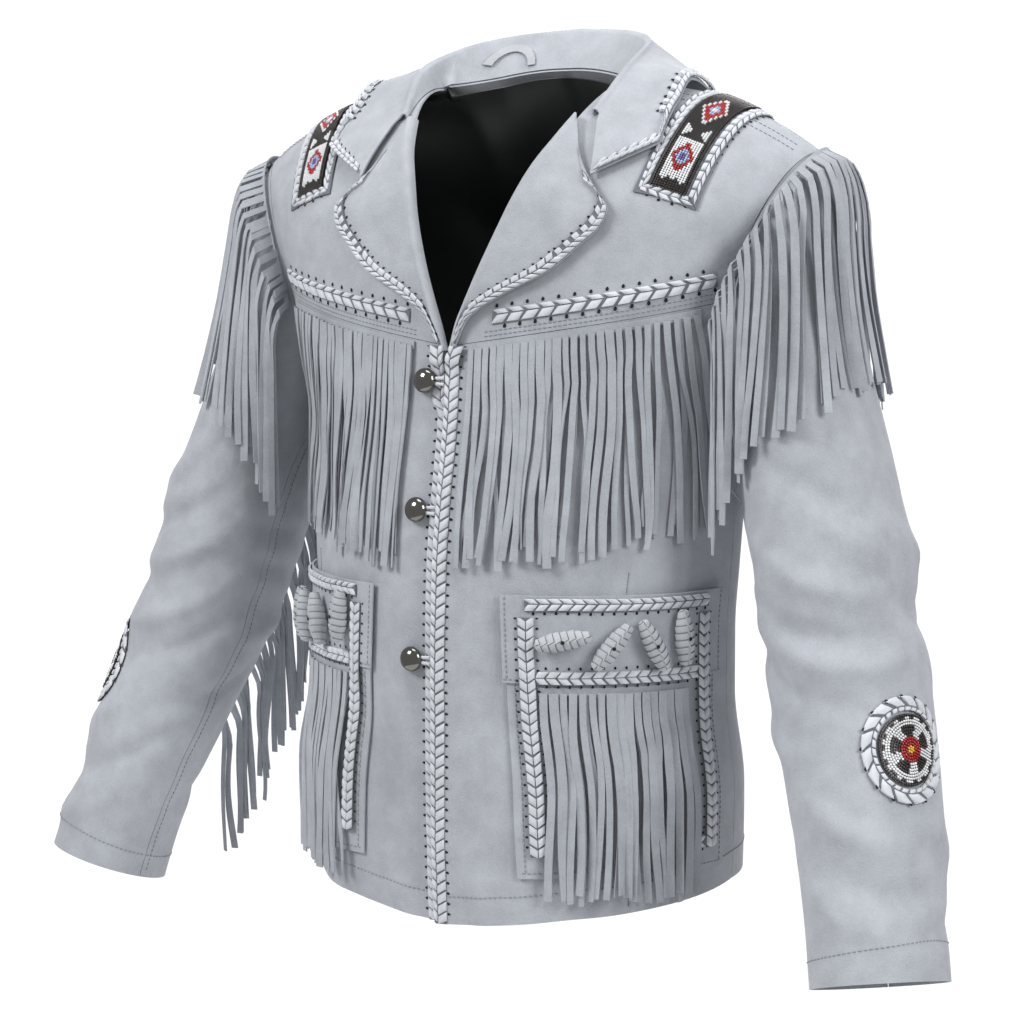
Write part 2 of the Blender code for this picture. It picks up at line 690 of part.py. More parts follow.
def lapel_surface(along, share):
    """x and z on the front of a lapel's point, from its roll (share 0) to its outer edge (1)."""
    roll_x, roll_z = (front_edge(along)[..., axis] for axis in (0, 2))
    edge_x = read(LAPEL_COLUMNS, LAPEL_EDGE, "across", along)
    edge_z = read(LAPEL_COLUMNS, LAPEL_EDGE, "height", along)
    return roll_x + (edge_x - roll_x) * share, roll_z + (edge_z - roll_z) * share


def lapel_lift(along, share):
    """Height of a lapel's face over the front: low at its edge, high where it rolls, and low at its foot."""
    foot = smooth(along / 0.15)
    return LAPEL_FOOT_LIFT + (LAPEL_EDGE_LIFT + LAPEL_ROLL_LIFT * (1 - share) ** 2) * foot


def lapel_grid():
    along = np.linspace(0.0, 1.0, LAPEL_ROWS)
    edge_x, edge_z = lapel_surface(along, 1.0)
    roll = front_edge(along)
    inward = unit(roll - trunk_at(edge_x, edge_z, -1)) * smooth(along / 0.3)[:, None]
    inward = unit(inward + np.array([-0.6, 0, 0]))
    out = trunk_facing(roll, -1)
    lift = lapel_lift(along, 0.0)[:, None]
    turn = LAPEL_TURN * (0.7 + 0.3 * smooth(along / 0.15))[:, None]
    columns = [
        roll + inward * turn * 0.85 - out * SUEDE * 0.5,
        roll + inward * turn + out * lift * 0.35,
        roll + inward * turn * 0.6 + out * lift * 0.9,
        roll + out * (lift + REST),
    ]
    for share in LAPEL_SHARES:
        x, z = lapel_surface(along, share)
        base = trunk_at(x, z, -1)
        columns.append(base + trunk_facing(base, -1) * lapel_lift(along, share)[:, None])
    return np.stack(columns, axis=1)


def make_collar():
    grid = collar_grid()
    sheet_rows("collar", grid, SUEDE, "suede", np.array([0.0, 0.9, 0.2]))
    lapel = lapel_grid()
    for side, shape in (("left", lapel), ("right", mirrored(lapel))):
        sheet_rows(f"lapel_{side}", shape, SUEDE, "suede", np.array([0.0, -2.0, 0.1]))


def make_hanger():
    """The arched hanging loop on the inside of the collar's stand."""
    half = collar_half()
    arch = np.radians(np.linspace(8, 172, 12))[None, :]
    radius = np.array([HANGER_R - HANGER_W, HANGER_R])[:, None]
    x, z = HANGER_X + radius * np.cos(arch), HANGER_Z + radius * np.sin(arch)
    low, high = (half[:, column] for column in (0, 2))
    place = [[np.interp(np.abs(x), end[::-1, 0], end[::-1, axis]) for axis in (1, 2)] for end in (low, high)]
    share = (z - place[0][1]) / (place[1][1] - place[0][1])
    y = place[0][0] + (place[1][0] - place[0][0]) * share - HANGER_T - 2 * REST
    sheet("hanger_loop", point(x, y, z), HANGER_T, "suede", (0.0, 1.0, 0.03))


# Lacing

def front_lacing_grid(lap):
    """The lacing up a front's edge, from the hem to the foot of the lapel, where it climbs over the lapel.
    The lapped front's lacing starts under the other front, and near the lapel beside it."""
    rows = front_heights()[1]
    low = rows[1:][rows[1:] < LACE_FOOT_ROWS[0] - LACE_PROUD]
    z = np.concatenate([rows[:1] + LACE_PROUD, low, LACE_FOOT_ROWS])[:, None]
    start = neckline_x(z, lap) + (LACE_UNDER if lap > 0 else -LACE_PROUD)
    end = start + EDGE_LACE_W
    if lap > 0:
        start = np.where(z < LACE_FOOT_ROWS[0], start, LACE_BESIDE)
    across = np.concatenate([start, end], axis=1)
    rise = np.where(z < LACE_FOOT_ROWS[-1], 0.0, LACE_RISE)
    grid = trunk_at(across, z, -1)
    return lifted(grid, overlap_shift(across, z, lap) + LACE + REST + rise, (0, 0, -0.3))


def lapel_lacing_grid():
    along = np.linspace(0.0, 1.0, LAPEL_ROWS)[1:, None]
    edge_x, edge_z = lapel_surface(along, 1.0)
    roll_x, roll_z = lapel_surface(along, 0.0)
    span = np.hypot(edge_x - roll_x, edge_z - roll_z)
    start = np.clip(1 - LAPEL_LACE_W / np.maximum(span, 1e-6), 0.18, 1)
    share = start + (1.0 - start) * np.array([0.0, 1.0])[None, :]
    x, z = lapel_surface(along, share)
    base = trunk_at(x, z, -1)
    return base + trunk_facing(base, -1) * (lapel_lift(along, share) + LACE + 3 * REST)[..., None]


def collar_lacing_grid():
    """The lacing along the collar's outer edge, from one notch round to the other."""
    half = collar_half()
    rim = np.concatenate([half[0, -2:], half[1:, -1]])
    corner = (half[1, -2] + half[0, -1]) / 2
    within = np.concatenate([half[1:2, -2], [corner], half[1:, -2]])
    reach = unit(within - rim) * LAPEL_LACE_W * 0.9
    return np.stack([rim, rim + reach], axis=1)


def make_lacing():
    for side, lap in (("left", 0.0), ("right", OVERLAP)):
        edge = np.concatenate([front_lacing_grid(lap), lapel_lacing_grid()])
        sheet(f"edge_lacing_{side}", edge if side == "left" else mirrored(edge), LACE, "lace")
    rim = collar_lacing_grid()
    whole = np.concatenate([rim, mirrored(rim)[-2::-1]], axis=0)
    inside = (0.0, 0.01, -0.10)
    sheet("collar_lacing", lifted(whole, LACE + 4 * REST, inside), LACE, "lace", inside)
    x = np.linspace(STRIP_IN, STRIP_OUT, 12)[:, None]
    z = yoke_seam_z(x) + STRIP_RISE + np.array([0.0, 1.0])[None, :] * STRIP_LACE_W
    strip = trunk_at(x + 0 * z, z, -1)
    both("yoke_lacing", lifted(strip, LACE + REST, (0, 0, -0.3)), LACE, "lace")


def yoke_seam_z(x):
    """The yoke seam's height at x, read from the yoke's own bottom row."""
    row = front_yoke(0.0)[0]
    return np.interp(np.abs(x), row[:, 0], row[:, 2])


# Pockets

def pocket_point(angle, z):
    """A point of the front where a pocket lies. The pocket narrows downwards on the side of the opening."""
    drop = (POCKET_TOP - z) / (POCKET_TOP - POCKET_BOTTOM)
    angle = angle + POCKET_TAPER * drop * (POCKET_OUT - angle) / (POCKET_OUT - POCKET_IN)
    return trunk_round(angle, z + 0 * angle)


def pocket_patch(start, end, heights, lift):
    angle = np.linspace(start, end, POCKET_STEPS + 1)[None, :]
    return lifted(pocket_point(angle, np.asarray(heights)[:, None]), lift, (0, 0, -0.3))


def pocket_lacing_grid(height):
    """The lacing on a pocket: two uprights joined by a cross piece, as one sheet of cells."""
    angles = np.array([POCKET_IN + 4.0, POCKET_IN + 8.3, POCKET_OUT - 9.5, POCKET_OUT - 5.0])
    cross = (FLAP_BOTTOM - 0.001, FLAP_BOTTOM + 0.0105)
    levels = np.array([POCKET_BOTTOM + 0.018, -0.53, *cross, POCKET_TOP - 0.016])
    inner = np.linspace(angles[1], angles[2], 8)
    columns = np.concatenate([angles[:1], inner, angles[3:]])
    return lifted(pocket_point(columns[None, :], levels[:, None]), height, (0, 0, -0.3))


def make_pocket_lacing(height):
    grid = pocket_lacing_grid(height)
    rows, columns = grid.shape[:2]
    kept = [
        (i, j)
        for i in range(rows - 1)
        for j in range(columns - 1)
        if j in (0, columns - 2) or i == 2
    ]
    for side, shape in (("left", grid), ("right", mirrored(grid))):
        used = sorted({(i + a) * columns + j + b for i, j in kept for a in (0, 1) for b in (0, 1)})
        place = {old: new for new, old in enumerate(used)}
        faces = []
        for i, j in kept:
            corner = [i * columns + j, i * columns + j + 1, (i + 1) * columns + j + 1, (i + 1) * columns + j]
            corner = [place[c] for c in corner]
            faces.append(corner if side == "left" else corner[::-1])
        solidify(add_object(f"pocket_lacing_{side}", shape.reshape(-1, 3)[used], faces, "lace"), LACE)


def make_pockets():
    flap_rows = np.linspace(FLAP_BOTTOM, POCKET_TOP, 3)
    rows = [*np.linspace(POCKET_BOTTOM, FLAP_BOTTOM, 4), flap_rows[1], POCKET_TOP - 0.002]
    lift = SUEDE + POCKET_CLEAR
    both("pocket", pocket_patch(POCKET_IN + 0.8, POCKET_OUT, rows, lift), SUEDE, "suede")
    lift += SUEDE + REST
    both("pocket_flap", pocket_patch(POCKET_IN, POCKET_OUT + 0.8, flap_rows, lift), SUEDE, "suede")
    lift += LACE + 2 * REST
    make_pocket_lacing(lift)
    rows = (POCKET_TOP - LAPEL_LACE_W, POCKET_TOP - 0.0015)
    both("pocket_top_lacing", pocket_patch(POCKET_IN + 6, POCKET_OUT - 6, rows, lift), LACE, "lace")


# Fringe

def ribbons(name, tops, roots, paths, sides, colour="suede"):
    """A cut fringe as one sheet: a strip between the tops and the roots, two of each for every strand, and
    a ribbon down each path."""
    count, steps = paths.shape[:2]
    points = [*tops, *roots]
    faces = [[j, j + 1, 2 * count + j + 1, 2 * count + j] for j in range(2 * count - 1)]
    for k in range(count):
        last = (2 * count + 2 * k, 2 * count + 2 * k + 1)
        for step in range(steps):
            half = sides[k, step] * STRAND_W / 2
            points += [paths[k, step] - half, paths[k, step] + half]
            new = (len(points) - 2, len(points) - 1)
            faces.append([last[0], last[1], new[1], new[0]])
            last = new
    made = add_object(name, points, faces, colour, sharp=80)
    work = bmesh.new()
    work.from_mesh(made.data)
    bmesh.ops.recalc_face_normals(work, faces=work.faces)
    work.to_mesh(made.data)
    work.free()
    return solidify(made, STRAND_T)


def face_out(made, inside):
    """Turns a sheet's faces so that they look away from a point."""
    mesh = made.data
    total = 0.0
    for face in mesh.polygons:
        total += (np.array(face.center) - np.asarray(inside)) @ np.array(face.normal) * face.area
    if total < 0:
        mesh.flip_normals()


def both_ribbons(name, tops, roots, paths, sides, inside):
    face_out(ribbons(f"{name}_left", tops, roots, paths, sides), inside)
    flip = np.array([-1.0, 1.0, 1.0])
    face_out(
        ribbons(f"{name}_right", tops * flip, roots * flip, paths * flip, sides * flip),
        (-inside[0], *inside[1:]),
    )


def wander(count, size, pace, phase):
    """A gentle unevenness from strand to strand that is the same each time."""
    k = np.arange(count)
    return size * (np.sin(pace * k + phase) + 0.6 * np.sin(2.7 * pace * k + 1.3 + phase)) / 1.6


def stations(start, end, count, share=0.66):
    """Two places for each strand along a strip, with a gap between strands."""
    centre = start + (end - start) * (np.arange(count) + 0.5) / count
    half = (end - start) / count * share / 2
    return np.stack([centre - half, centre + half], axis=-1).reshape(-1)


def chest_fringe(side, inner_x):
    x = stations(inner_x, CHEST_OUT, CHEST_STRANDS)
    seam = yoke_seam_z(x) - 0.0016
    gap = STRAND_T + 0.0012
    tops = trunk_at(x, seam, -1) - np.array([0, gap, 0])
    roots = trunk_at(x, seam - STRIP_H, -1) - np.array([0, gap, 0])
    middle = (x[::2] + x[1::2]) / 2
    top = (seam[::2] + seam[1::2]) / 2 - STRIP_H
    length = CHEST_LENGTH + wander(CHEST_STRANDS, 0.006, 1.9, 0.4)
    drop = np.array([0.2, 0.55, 1.0])
    z = top[:, None] - length[:, None] * drop
    sway = wander(CHEST_STRANDS, 0.0008, 2.3, 1.1)[:, None] * drop
    across = middle[:, None] + sway
    surface = trunk_at(across, z, -1)
    out = trunk_facing(surface, -1)
    paths = surface + out * (gap + 0.0012 + 0.0015 * drop)[None, :, None]
    sides = unit(np.stack([-out[..., 1], out[..., 0], 0 * z], axis=-1))
    if side == "right":
        tops, roots, paths, sides = (mirrored(points) for points in (tops, roots, paths, sides))
    face_out(ribbons(f"chest_fringe_{side}", tops, roots, paths, sides), (0, 0, -0.3))


def pocket_fringe():
    angle = stations(POCKET_IN + 9.5, POCKET_OUT - 13.5, POCKET_STRANDS)
    lift = SUEDE + STRAND_T + POCKET_CLEAR + REST
    top, low = FLAP_BOTTOM - 0.0030, FLAP_BOTTOM - 0.0030 - STRIP_H

    def place(at, z, height):
        base = trunk_round(at, z)
        return base + unit(base * np.array([1, 1, 0])) * np.broadcast_to(height, base.shape[:-1])[..., None]

    tops, roots = place(angle, top + 0 * angle, lift), place(angle, low + 0 * angle, lift)
    middle = (angle[::2] + angle[1::2]) / 2
    length = POCKET_LENGTH + wander(POCKET_STRANDS, 0.005, 2.1, 0.9)
    drop = np.array([0.4, 1.0])
    z = low - length[:, None] * drop
    paths = place(middle[:, None] + 0 * z, z, lift + POCKET_SWING + 0.002 * drop)
    turn = np.radians(middle)
    sides = unit(point(np.cos(turn) * 0.19, np.sin(turn) * 0.14, 0 * turn))
    sides = sides[:, None, :].repeat(len(drop), axis=1)
    both_ribbons("pocket_fringe", tops, roots, paths, sides, (0, 0, -0.45))


def over_sleeve(where, gap):
    """Moves points out of the sleeve, level by level, to gap beyond its outer face."""
    z = where[..., 2]
    across, forward, wide, deep = (read(SLEEVE_COLUMNS, SLEEVE, name, z) for name in SLEEVE_COLUMNS[1:])
    wide, deep = wide + gap, deep + gap
    dx, dy = (where[..., 0] - across) / wide, (where[..., 1] - forward) / deep
    radius = np.maximum(np.hypot(dx, dy), 1e-6)
    push = np.where(radius < 1, 1 / radius, 1.0)
    return point(across + dx * wide * push, forward + dy * deep * push, z)


def falling(start, heading, length, drop, gap):
    """Where each strand lies that leaves its seam along heading and then falls over the sleeve."""
    steps = 24
    here, reach = start.copy(), (length / steps)[:, None]
    track = [here]
    for step in range(steps):
        turn = smooth((step + 1) / (steps * 0.28))
        aim = unit(heading * (1 - turn) + np.array([0, 0, -1.0]) * turn)
        here = over_sleeve(here + aim * reach, gap)
        track.append(here)
    picked = [track[int(round(share * steps))] for share in drop]
    return np.stack(picked, axis=1)


def armhole_fringe():
    alpha = stations(-100.0, 96.0, ARMHOLE_STRANDS, 0.62)
    seam = sleeve_point(alpha, 0.0)
    below = sleeve_point(alpha, 0.045)
    heading = unit(below - seam)
    out = unit(seam - np.array([0.19, 0.01, -0.17]))
    lift = STRAND_T + 0.0030
    tops = seam + out * lift + heading * 0.0022
    roots = tops + heading * STRIP_H
    start = (roots[::2] + roots[1::2]) / 2
    length = ARMHOLE_LENGTH + wander(ARMHOLE_STRANDS, 0.007, 1.7, 0.2)
    drop = np.array([0.12, 0.36, 1.0])
    paths = falling(start, unit(heading[::2] + heading[1::2]), length, drop, STRAND_T + 0.0045)
    along = unit(roots[1::2] - roots[::2])
    level = paths - np.array([0.24, 0.0, 0.0])
    around = unit(np.stack([level[..., 1], -level[..., 0], 0 * level[..., 2]], axis=-1))
    around = np.where(np.sum(around * along[:, None, :], axis=-1, keepdims=True) < 0, -around, around)
    blend = smooth(drop / 0.4)[None, :, None]
    sides = unit(along[:, None, :] * (1 - blend) + around * blend)
    both_ribbons("armhole_fringe", tops, roots, paths, sides, (0.23, 0.01, -0.2))


def sleeve_fringe():
    """The fringe sewn into the seam behind the arm, from below the armpit to the middle of the forearm."""
    z = stations(SLEEVE_FRINGE_TOP, SLEEVE_FRINGE_END, SLEEVE_STRANDS)
    out = np.array([0.0, 1.0, 0.0])
    seam = sleeve_at(np.full(len(z), float(BACK_SEAM)), z)
    tops = seam + out * STRAND_T
    roots = tops + np.array([0.0, 0.30, -0.95]) * STRIP_H * np.array([0, 1, 0]) + out * 0.002
    start = (roots[::2] + roots[1::2]) / 2
    length = SLEEVE_LENGTH + wander(SLEEVE_STRANDS, 0.008, 1.4, 2.0)
    drop = np.array([0.16, 1.0])
    k = np.arange(SLEEVE_STRANDS)
    stagger = 0.0065 * (k % 3)
    depth = start[:, 1:2] + 0.004 + stagger[:, None] * smooth(drop / 0.3)
    z = start[:, 2:3] - length[:, None] * drop
    x = start[:, 0:1] + 0 * z
    paths = point(x, depth, z)
    sides = np.array([0.55, 0.0, -0.83]) * (1 - smooth(drop / 0.3))[None, :, None]
    sides = unit(sides + np.array([1.0, 0.12, 0.0]) * smooth(drop / 0.3)[None, :, None])
    sides = np.broadcast_to(sides, paths.shape)
    both_ribbons("sleeve_fringe", tops, roots, paths, sides, (0.29, -0.03, -0.42))


# Buttons, loops and toggles

def turned(name, profile, colour, segments=12):
    """A solid of revolution about +Z, with a profile of (radius, height) from the axis to the axis."""
    mesh = bpy.data.meshes.new(name)
    made = bpy.data.objects.new(name, mesh)
    bpy.context.scene.collection.objects.link(made)
    work = bmesh.new()
    line = [work.verts.new((radius, 0.0, height)) for radius, height in profile]
    edges = [work.edges.new(pair) for pair in zip(line, line[1:])]
    circle = {"axis": (0, 0, 1), "cent": (0, 0, 0), "angle": 2 * math.pi}
    bmesh.ops.spin(work, geom=line + edges, steps=segments, use_merge=True, **circle)
    bmesh.ops.remove_doubles(work, verts=work.verts, dist=1e-5)
    bmesh.ops.recalc_face_normals(work, faces=work.faces)
    work.to_mesh(mesh)
    work.free()
    mesh.materials.append(material(colour))
    mesh.shade_smooth()
    mesh.set_sharp_from_angle(angle=math.radians(40))
    return made


def point_along(made, where, direction):
    """Places a turned piece with its axis along a direction."""
    made.location = where
    made.rotation_euler = Vector(direction).to_track_quat("Z", "Y").to_euler()


def make_buttons():
    bends = [math.radians(turn) for turn in (0, 30, 60)]
    rise = BUTTON_H - BUTTON_RIM
    dome = [(BUTTON_R * math.cos(bend), BUTTON_RIM + rise * math.sin(bend)) for bend in bends]
    profile = [(0.0, 0.0), *BUTTON_STEM, (BUTTON_R, 0.0018), *dome, (0.0, BUTTON_H)]
    for number, z in enumerate(BUTTON_HEIGHTS, 1):
        base = trunk_at(BUTTON_X, z, -1)
        out = trunk_facing(base, -1)
        shift = float(overlap_shift(-BUTTON_X, z, OVERLAP))
        button = turned(f"button_{number}", profile, "metal")
        point_along(button, tuple(base + out * (BUTTON_LIFT + shift)), tuple(out))
        x = np.array(LOOP_X)
        height = z + np.array([[-LOOP_W / 2], [LOOP_W / 2]])
        grid = trunk_at(x[None, :] + 0 * height, height + 0 * x[None, :], -1)
        grid = lifted(grid, float(overlap_shift(-LOOP_X[1], z, OVERLAP)) + LOOP_LIFT, (0, 0, -0.3))
        sheet(f"button_loop_{number}", grid, LOOP_T, "suede")


def make_toggles():
    """The rolled suede toggles on the pocket flaps: each is a spindle sewn on at its middle."""
    profile = [(TOGGLE_R * radius, TOGGLE_L / 2 * height) for radius, height in TOGGLE_SHAPE]
    lift = 2 * SUEDE + REST + POCKET_CLEAR + TOGGLE_R + TOGGLE_CLEAR
    for side, toggles in (("left", LEFT_TOGGLES), ("right", RIGHT_TOGGLES)):
        for number, (angle, rise, lean) in enumerate(toggles, 1):
            z = (POCKET_TOP + FLAP_BOTTOM) / 2 - 0.001 + rise
            base = trunk_round(angle, z)
            turn = math.radians(angle)
            out = unit(np.array([math.sin(turn) * 0.144, -math.cos(turn) * 0.183, 0.0]))
            across = np.array([-out[1], out[0], 0.0])
            tilt = math.radians(lean)
            axis = across * math.sin(tilt) + np.array([0, 0, 1.0]) * math.cos(tilt)
            centre = base + out * lift
            if side == "right":
                centre, axis = mirrored(centre), mirrored(axis)
            toggle = turned(f"toggle_{side}_{number}", profile, "suede", 8)
            point_along(toggle, tuple(centre), tuple(axis))


# Beadwork

def over_shoulder(x, turn):
    """A point on the shoulder at x: turn is 0 on the seam, -90 down the front and 90 down the back."""
    bend = np.radians(turn)
    z = ridge(x) - RIDGE_REACH * (1 - np.cos(bend))
    front, back = trunk_at(x, z, -1), trunk_at(x, z, 1)
    return np.where((np.asarray(turn) < 0)[..., None], front, back)


def bead_turns(count):
    reach = math.degrees(math.acos(1 - (BEAD_TOP_Z - BEAD_END_Z) / RIDGE_REACH))
    return np.linspace(-reach, reach, count)


def bead_middle(turn):
    """Where the middle of the bead strip lies across the shoulder."""
    return BEAD_X - BEAD_LEAN * (np.abs(turn) / BEAD_LEAN_TURN) ** 1.2


def make_bead_strips():
    turns = bead_turns(13)[:, None]
    half = BEAD_STRIP_W / 2
    across = bead_middle(turns) + np.array([-half, 0.0, half])[None, :]
    grid = over_shoulder(across, turns + 0 * across)
    inside = (0.17, 0.01, -0.10)
    strip = trimmed(grid, top=0.0125, bottom=0.0125)
    both("bead_strip", lifted(strip, 0.0028, inside), 0.0020, "beads", inside)
    frame = []
    for reach in (half + 0.0012, half + BEAD_FRAME_W):
        long = np.linspace(turns[0, 0], turns[-1, 0], 11)
        inset = (half + BEAD_FRAME_W - reach) / 0.0125 * 7.0
        long = long * (1 - inset / abs(turns[0, 0]))
        short = np.linspace(-reach, reach, 5)
        up = over_shoulder(bead_middle(long) + reach, long)
        down = over_shoulder(bead_middle(long[::-1]) - reach, long[::-1])
        top = over_shoulder(bead_middle(long[-1]) + short[::-1][1:-1], np.full(3, long[-1]))
        foot = over_shoulder(bead_middle(long[0]) + short[1:-1], np.full(3, long[0]))
        frame.append(np.concatenate([up, top, down, foot]))
    grid = np.stack(frame)
    both("bead_frame", lifted(grid, LACE + 2 * REST, inside, True), LACE, "lace", inside, True)


def rosette_at(radius, turn, lift):
    """A point of a rosette on the left sleeve, by distance and direction from its middle."""
    bend = np.radians(turn)
    side, up = radius * np.cos(bend), radius * np.sin(bend)
    phi = ROSETTE_PHI - np.degrees(side / ROSETTE_ARM_R)
    base = sleeve_at(phi, ROSETTE_Z + up)
    turn_phi = np.radians(phi)
    out = unit(point(np.cos(turn_phi), -np.sin(turn_phi), 0.18))
    return base + out * lift


def disc(name, place, radii, lifts, colour, segments=16):
    """A shallow closed disc: rings of a top face over rings of an underside, each with its own middle."""
    turns = np.arange(segments) * 360 / segments
    points = [place(0.0, 0.0, lifts[0])]
    for radius, lift in zip(radii, lifts[1:]):
        points += [place(radius, turn, lift) for turn in turns]
    under = len(points)
    points.append(place(0.0, 0.0, ROSETTE_CLEAR))
    for radius in radii:
        points += [place(radius, turn, ROSETTE_CLEAR) for turn in turns]
    faces = []
    for first, flip in ((0, False), (under, True)):
        for j in range(segments):
            k = (j + 1) % segments
            fan = [first, first + 1 + j, first + 1 + k]
            faces.append(fan[::-1] if flip else fan)
            for ring in range(len(radii) - 1):
                a, b = first + 1 + ring * segments, first + 1 + (ring + 1) * segments
                quad = [a + j, b + j, b + k, a + k]
                faces.append(quad[::-1] if flip else quad)
    outer = 1 + (len(radii) - 1) * segments
    for j in range(segments):
        k = (j + 1) % segments
        faces.append([outer + j, under + outer + j, under + outer + k, outer + k])
    made = add_object(name, points, faces, colour)
    work = bmesh.new()
    work.from_mesh(made.data)
    bmesh.ops.recalc_face_normals(work, faces=work.faces)
    work.to_mesh(made.data)
    work.free()
    return made


def make_rosettes():
    for side, flip in (("left", 1.0), ("right", -1.0)):
        mirror = np.array([flip, 1.0, 1.0])

        def place(radius, turn, lift, mirror=mirror):
            return rosette_at(radius, turn, lift) * mirror

        disc(f"rosette_{side}", place, (0.016, ROSETTE_R), (0.0044, 0.0042, 0.0032), "beads")
        turns = np.arange(16) * 22.5
        rings = (ROSETTE_RING_IN, ROSETTE_RING_OUT)
        grid = np.stack([rosette_at(radius, turns, ROSETTE_CLEAR + LACE) for radius in rings])
        inside = (0.30 * flip, -0.04, ROSETTE_Z)
        sheet(f"rosette_ring_{side}", grid * mirror, LACE, "lace", inside, True)


def main():
    clear_scene()
    make_trunk()
    make_lining()
    make_sleeves()
    make_collar()
    make_hanger()
    make_lacing()
    make_pockets()
    chest_fringe("left", CHEST_IN_LEFT)
    chest_fringe("right", CHEST_IN_RIGHT)
    pocket_fringe()
    armhole_fringe()
    sleeve_fringe()
    make_buttons()
    make_toggles()
    make_bead_strips()
    make_rosettes()


main()
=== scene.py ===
"""The looks of the western jacket: suede, lacing, fringe, beadwork and stitching round the frame.

Metres, +Z up, the front at -Y and the wearer's left at +X, as in the frame. The tables and functions of the
form are the frame's own, read on finer grids.
"""

import math

import bmesh
import bpy
import numpy as np
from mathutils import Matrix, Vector


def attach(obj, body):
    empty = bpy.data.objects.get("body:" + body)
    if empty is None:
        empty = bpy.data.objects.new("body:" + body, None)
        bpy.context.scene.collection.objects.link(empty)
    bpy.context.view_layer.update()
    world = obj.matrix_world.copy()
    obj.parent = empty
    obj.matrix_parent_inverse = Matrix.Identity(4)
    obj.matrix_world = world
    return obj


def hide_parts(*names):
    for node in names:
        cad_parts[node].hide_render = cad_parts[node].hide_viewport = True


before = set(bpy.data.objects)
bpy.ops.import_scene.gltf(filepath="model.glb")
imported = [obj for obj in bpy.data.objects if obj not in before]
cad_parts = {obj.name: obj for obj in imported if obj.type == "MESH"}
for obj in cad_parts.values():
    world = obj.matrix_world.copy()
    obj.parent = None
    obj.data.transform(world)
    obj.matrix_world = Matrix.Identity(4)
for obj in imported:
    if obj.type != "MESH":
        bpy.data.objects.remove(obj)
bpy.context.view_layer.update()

# Leather, seams and layers
SUEDE = 0.0015
LACE = 0.0014
LINING = 0.0010
SEAM = 0.00025
REST = 0.0005
LINING_DEPTH = 0.0080
LINING_EASE = 0.0014
LINING_HEM, LINING_HEM_DEPTH, LINING_HEM_ROWS = 0.022, 0.0026, 12.0
LINING_WAVE = 0.0006

# The trunk: height of each level, half width, and depth in front and behind
TRUNK_COLUMNS = ("height", "half_width", "front", "back")
TRUNK = (
    (-0.680, 0.184, 0.141, 0.128),
    (-0.600, 0.187, 0.144, 0.127),
    (-0.545, 0.188, 0.145, 0.122),
    (-0.470, 0.180, 0.145, 0.112),
    (-0.420, 0.180, 0.145, 0.110),
    (-0.370, 0.183, 0.143, 0.113),
    (-0.320, 0.186, 0.137, 0.119),
    (-0.255, 0.189, 0.126, 0.124),
    (-0.200, 0.203, 0.121, 0.125),
    (-0.150, 0.220, 0.116, 0.122),
    (-0.100, 0.243, 0.104, 0.116),
    (-0.063, 0.265, 0.088, 0.110),
    (-0.020, 0.290, 0.074, 0.104),
    (0.050, 0.310, 0.068, 0.098),
)

# The shoulder seam's height at each distance from the middle
RIDGE_COLUMNS = ("across", "height")
RIDGE = (
    (0.000, 0.045),
    (0.050, 0.028),
    (0.085, 0.006),
    (0.120, 0.003),
    (0.150, -0.002),
    (0.175, -0.010),
    (0.200, -0.021),
    (0.225, -0.034),
    (0.250, -0.050),
    (0.300, -0.085),
)
RIDGE_Y = 0.010
RIDGE_REACH = 0.100

# The opening: where the front edge turns out along the lapel's roll
NECKLINE_COLUMNS = ("height", "across")
NECKLINE = (
    (-0.700, 0.000),
    (-0.212, 0.000),
    (-0.196, 0.0042),
    (-0.155, 0.0215),
    (-0.120, 0.038),
    (-0.085, 0.055),
    (-0.063, 0.067),
    (-0.021, 0.0815),
    (0.006, 0.085),
)
OVERLAP = 0.004
OVERLAP_SINK = 0.0036
OVERLAP_LIFT = 0.0008
GORGE_Z = -0.021
NECK_HALF = 0.085
NECK_BACK_Z = 0.022

# Hem, armhole and front yoke
HEM_FRONT, HEM_SIDE, HEM_BACK = -0.645, -0.616, -0.612
ARMPIT_Z, ARMPIT_X = -0.255, 0.189
SHOULDER_X = 0.250
ARMHOLE_FLARE, ARMHOLE_DROP = 2.2, 0.037
YOKE_CENTRE_Z = -0.196

# Sleeve: level sections, from the cap down to past the cuff
SLEEVE_COLUMNS = ("height", "across", "forward", "half_width", "half_depth")
SLEEVE = (
    (-0.685, 0.362, -0.115, 0.0505, 0.0540),
    (-0.624, 0.350, -0.100, 0.0505, 0.0545),
    (-0.574, 0.338, -0.083, 0.0525, 0.0570),
    (-0.524, 0.3245, -0.066, 0.0560, 0.0600),
    (-0.470, 0.3075, -0.0465, 0.0585, 0.0650),
    (-0.420, 0.2925, -0.034, 0.0600, 0.0690),
    (-0.393, 0.2855, -0.028, 0.0600, 0.0720),
    (-0.341, 0.2735, -0.018, 0.0580, 0.0760),
    (-0.300, 0.2610, -0.010, 0.0560, 0.0780),
    (-0.255, 0.2460, -0.002, 0.0550, 0.0790),
    (-0.200, 0.2300, 0.005, 0.0570, 0.0780),
    (-0.150, 0.2190, 0.008, 0.0590, 0.0750),
    (-0.100, 0.2150, 0.010, 0.0590, 0.0680),
    (-0.075, 0.2160, 0.010, 0.0540, 0.0580),
    (-0.050, 0.2200, 0.010, 0.0380, 0.0380),
)
CUFF_Z = -0.648
CUFF_TILT_X, CUFF_TILT_Y = 0.20, -0.26
CAP_FADE = 0.035
ARM_STEPS = 60
FRONT_SEAM, BACK_SEAM = 162, 252
SLEEVE_ROWS = 121
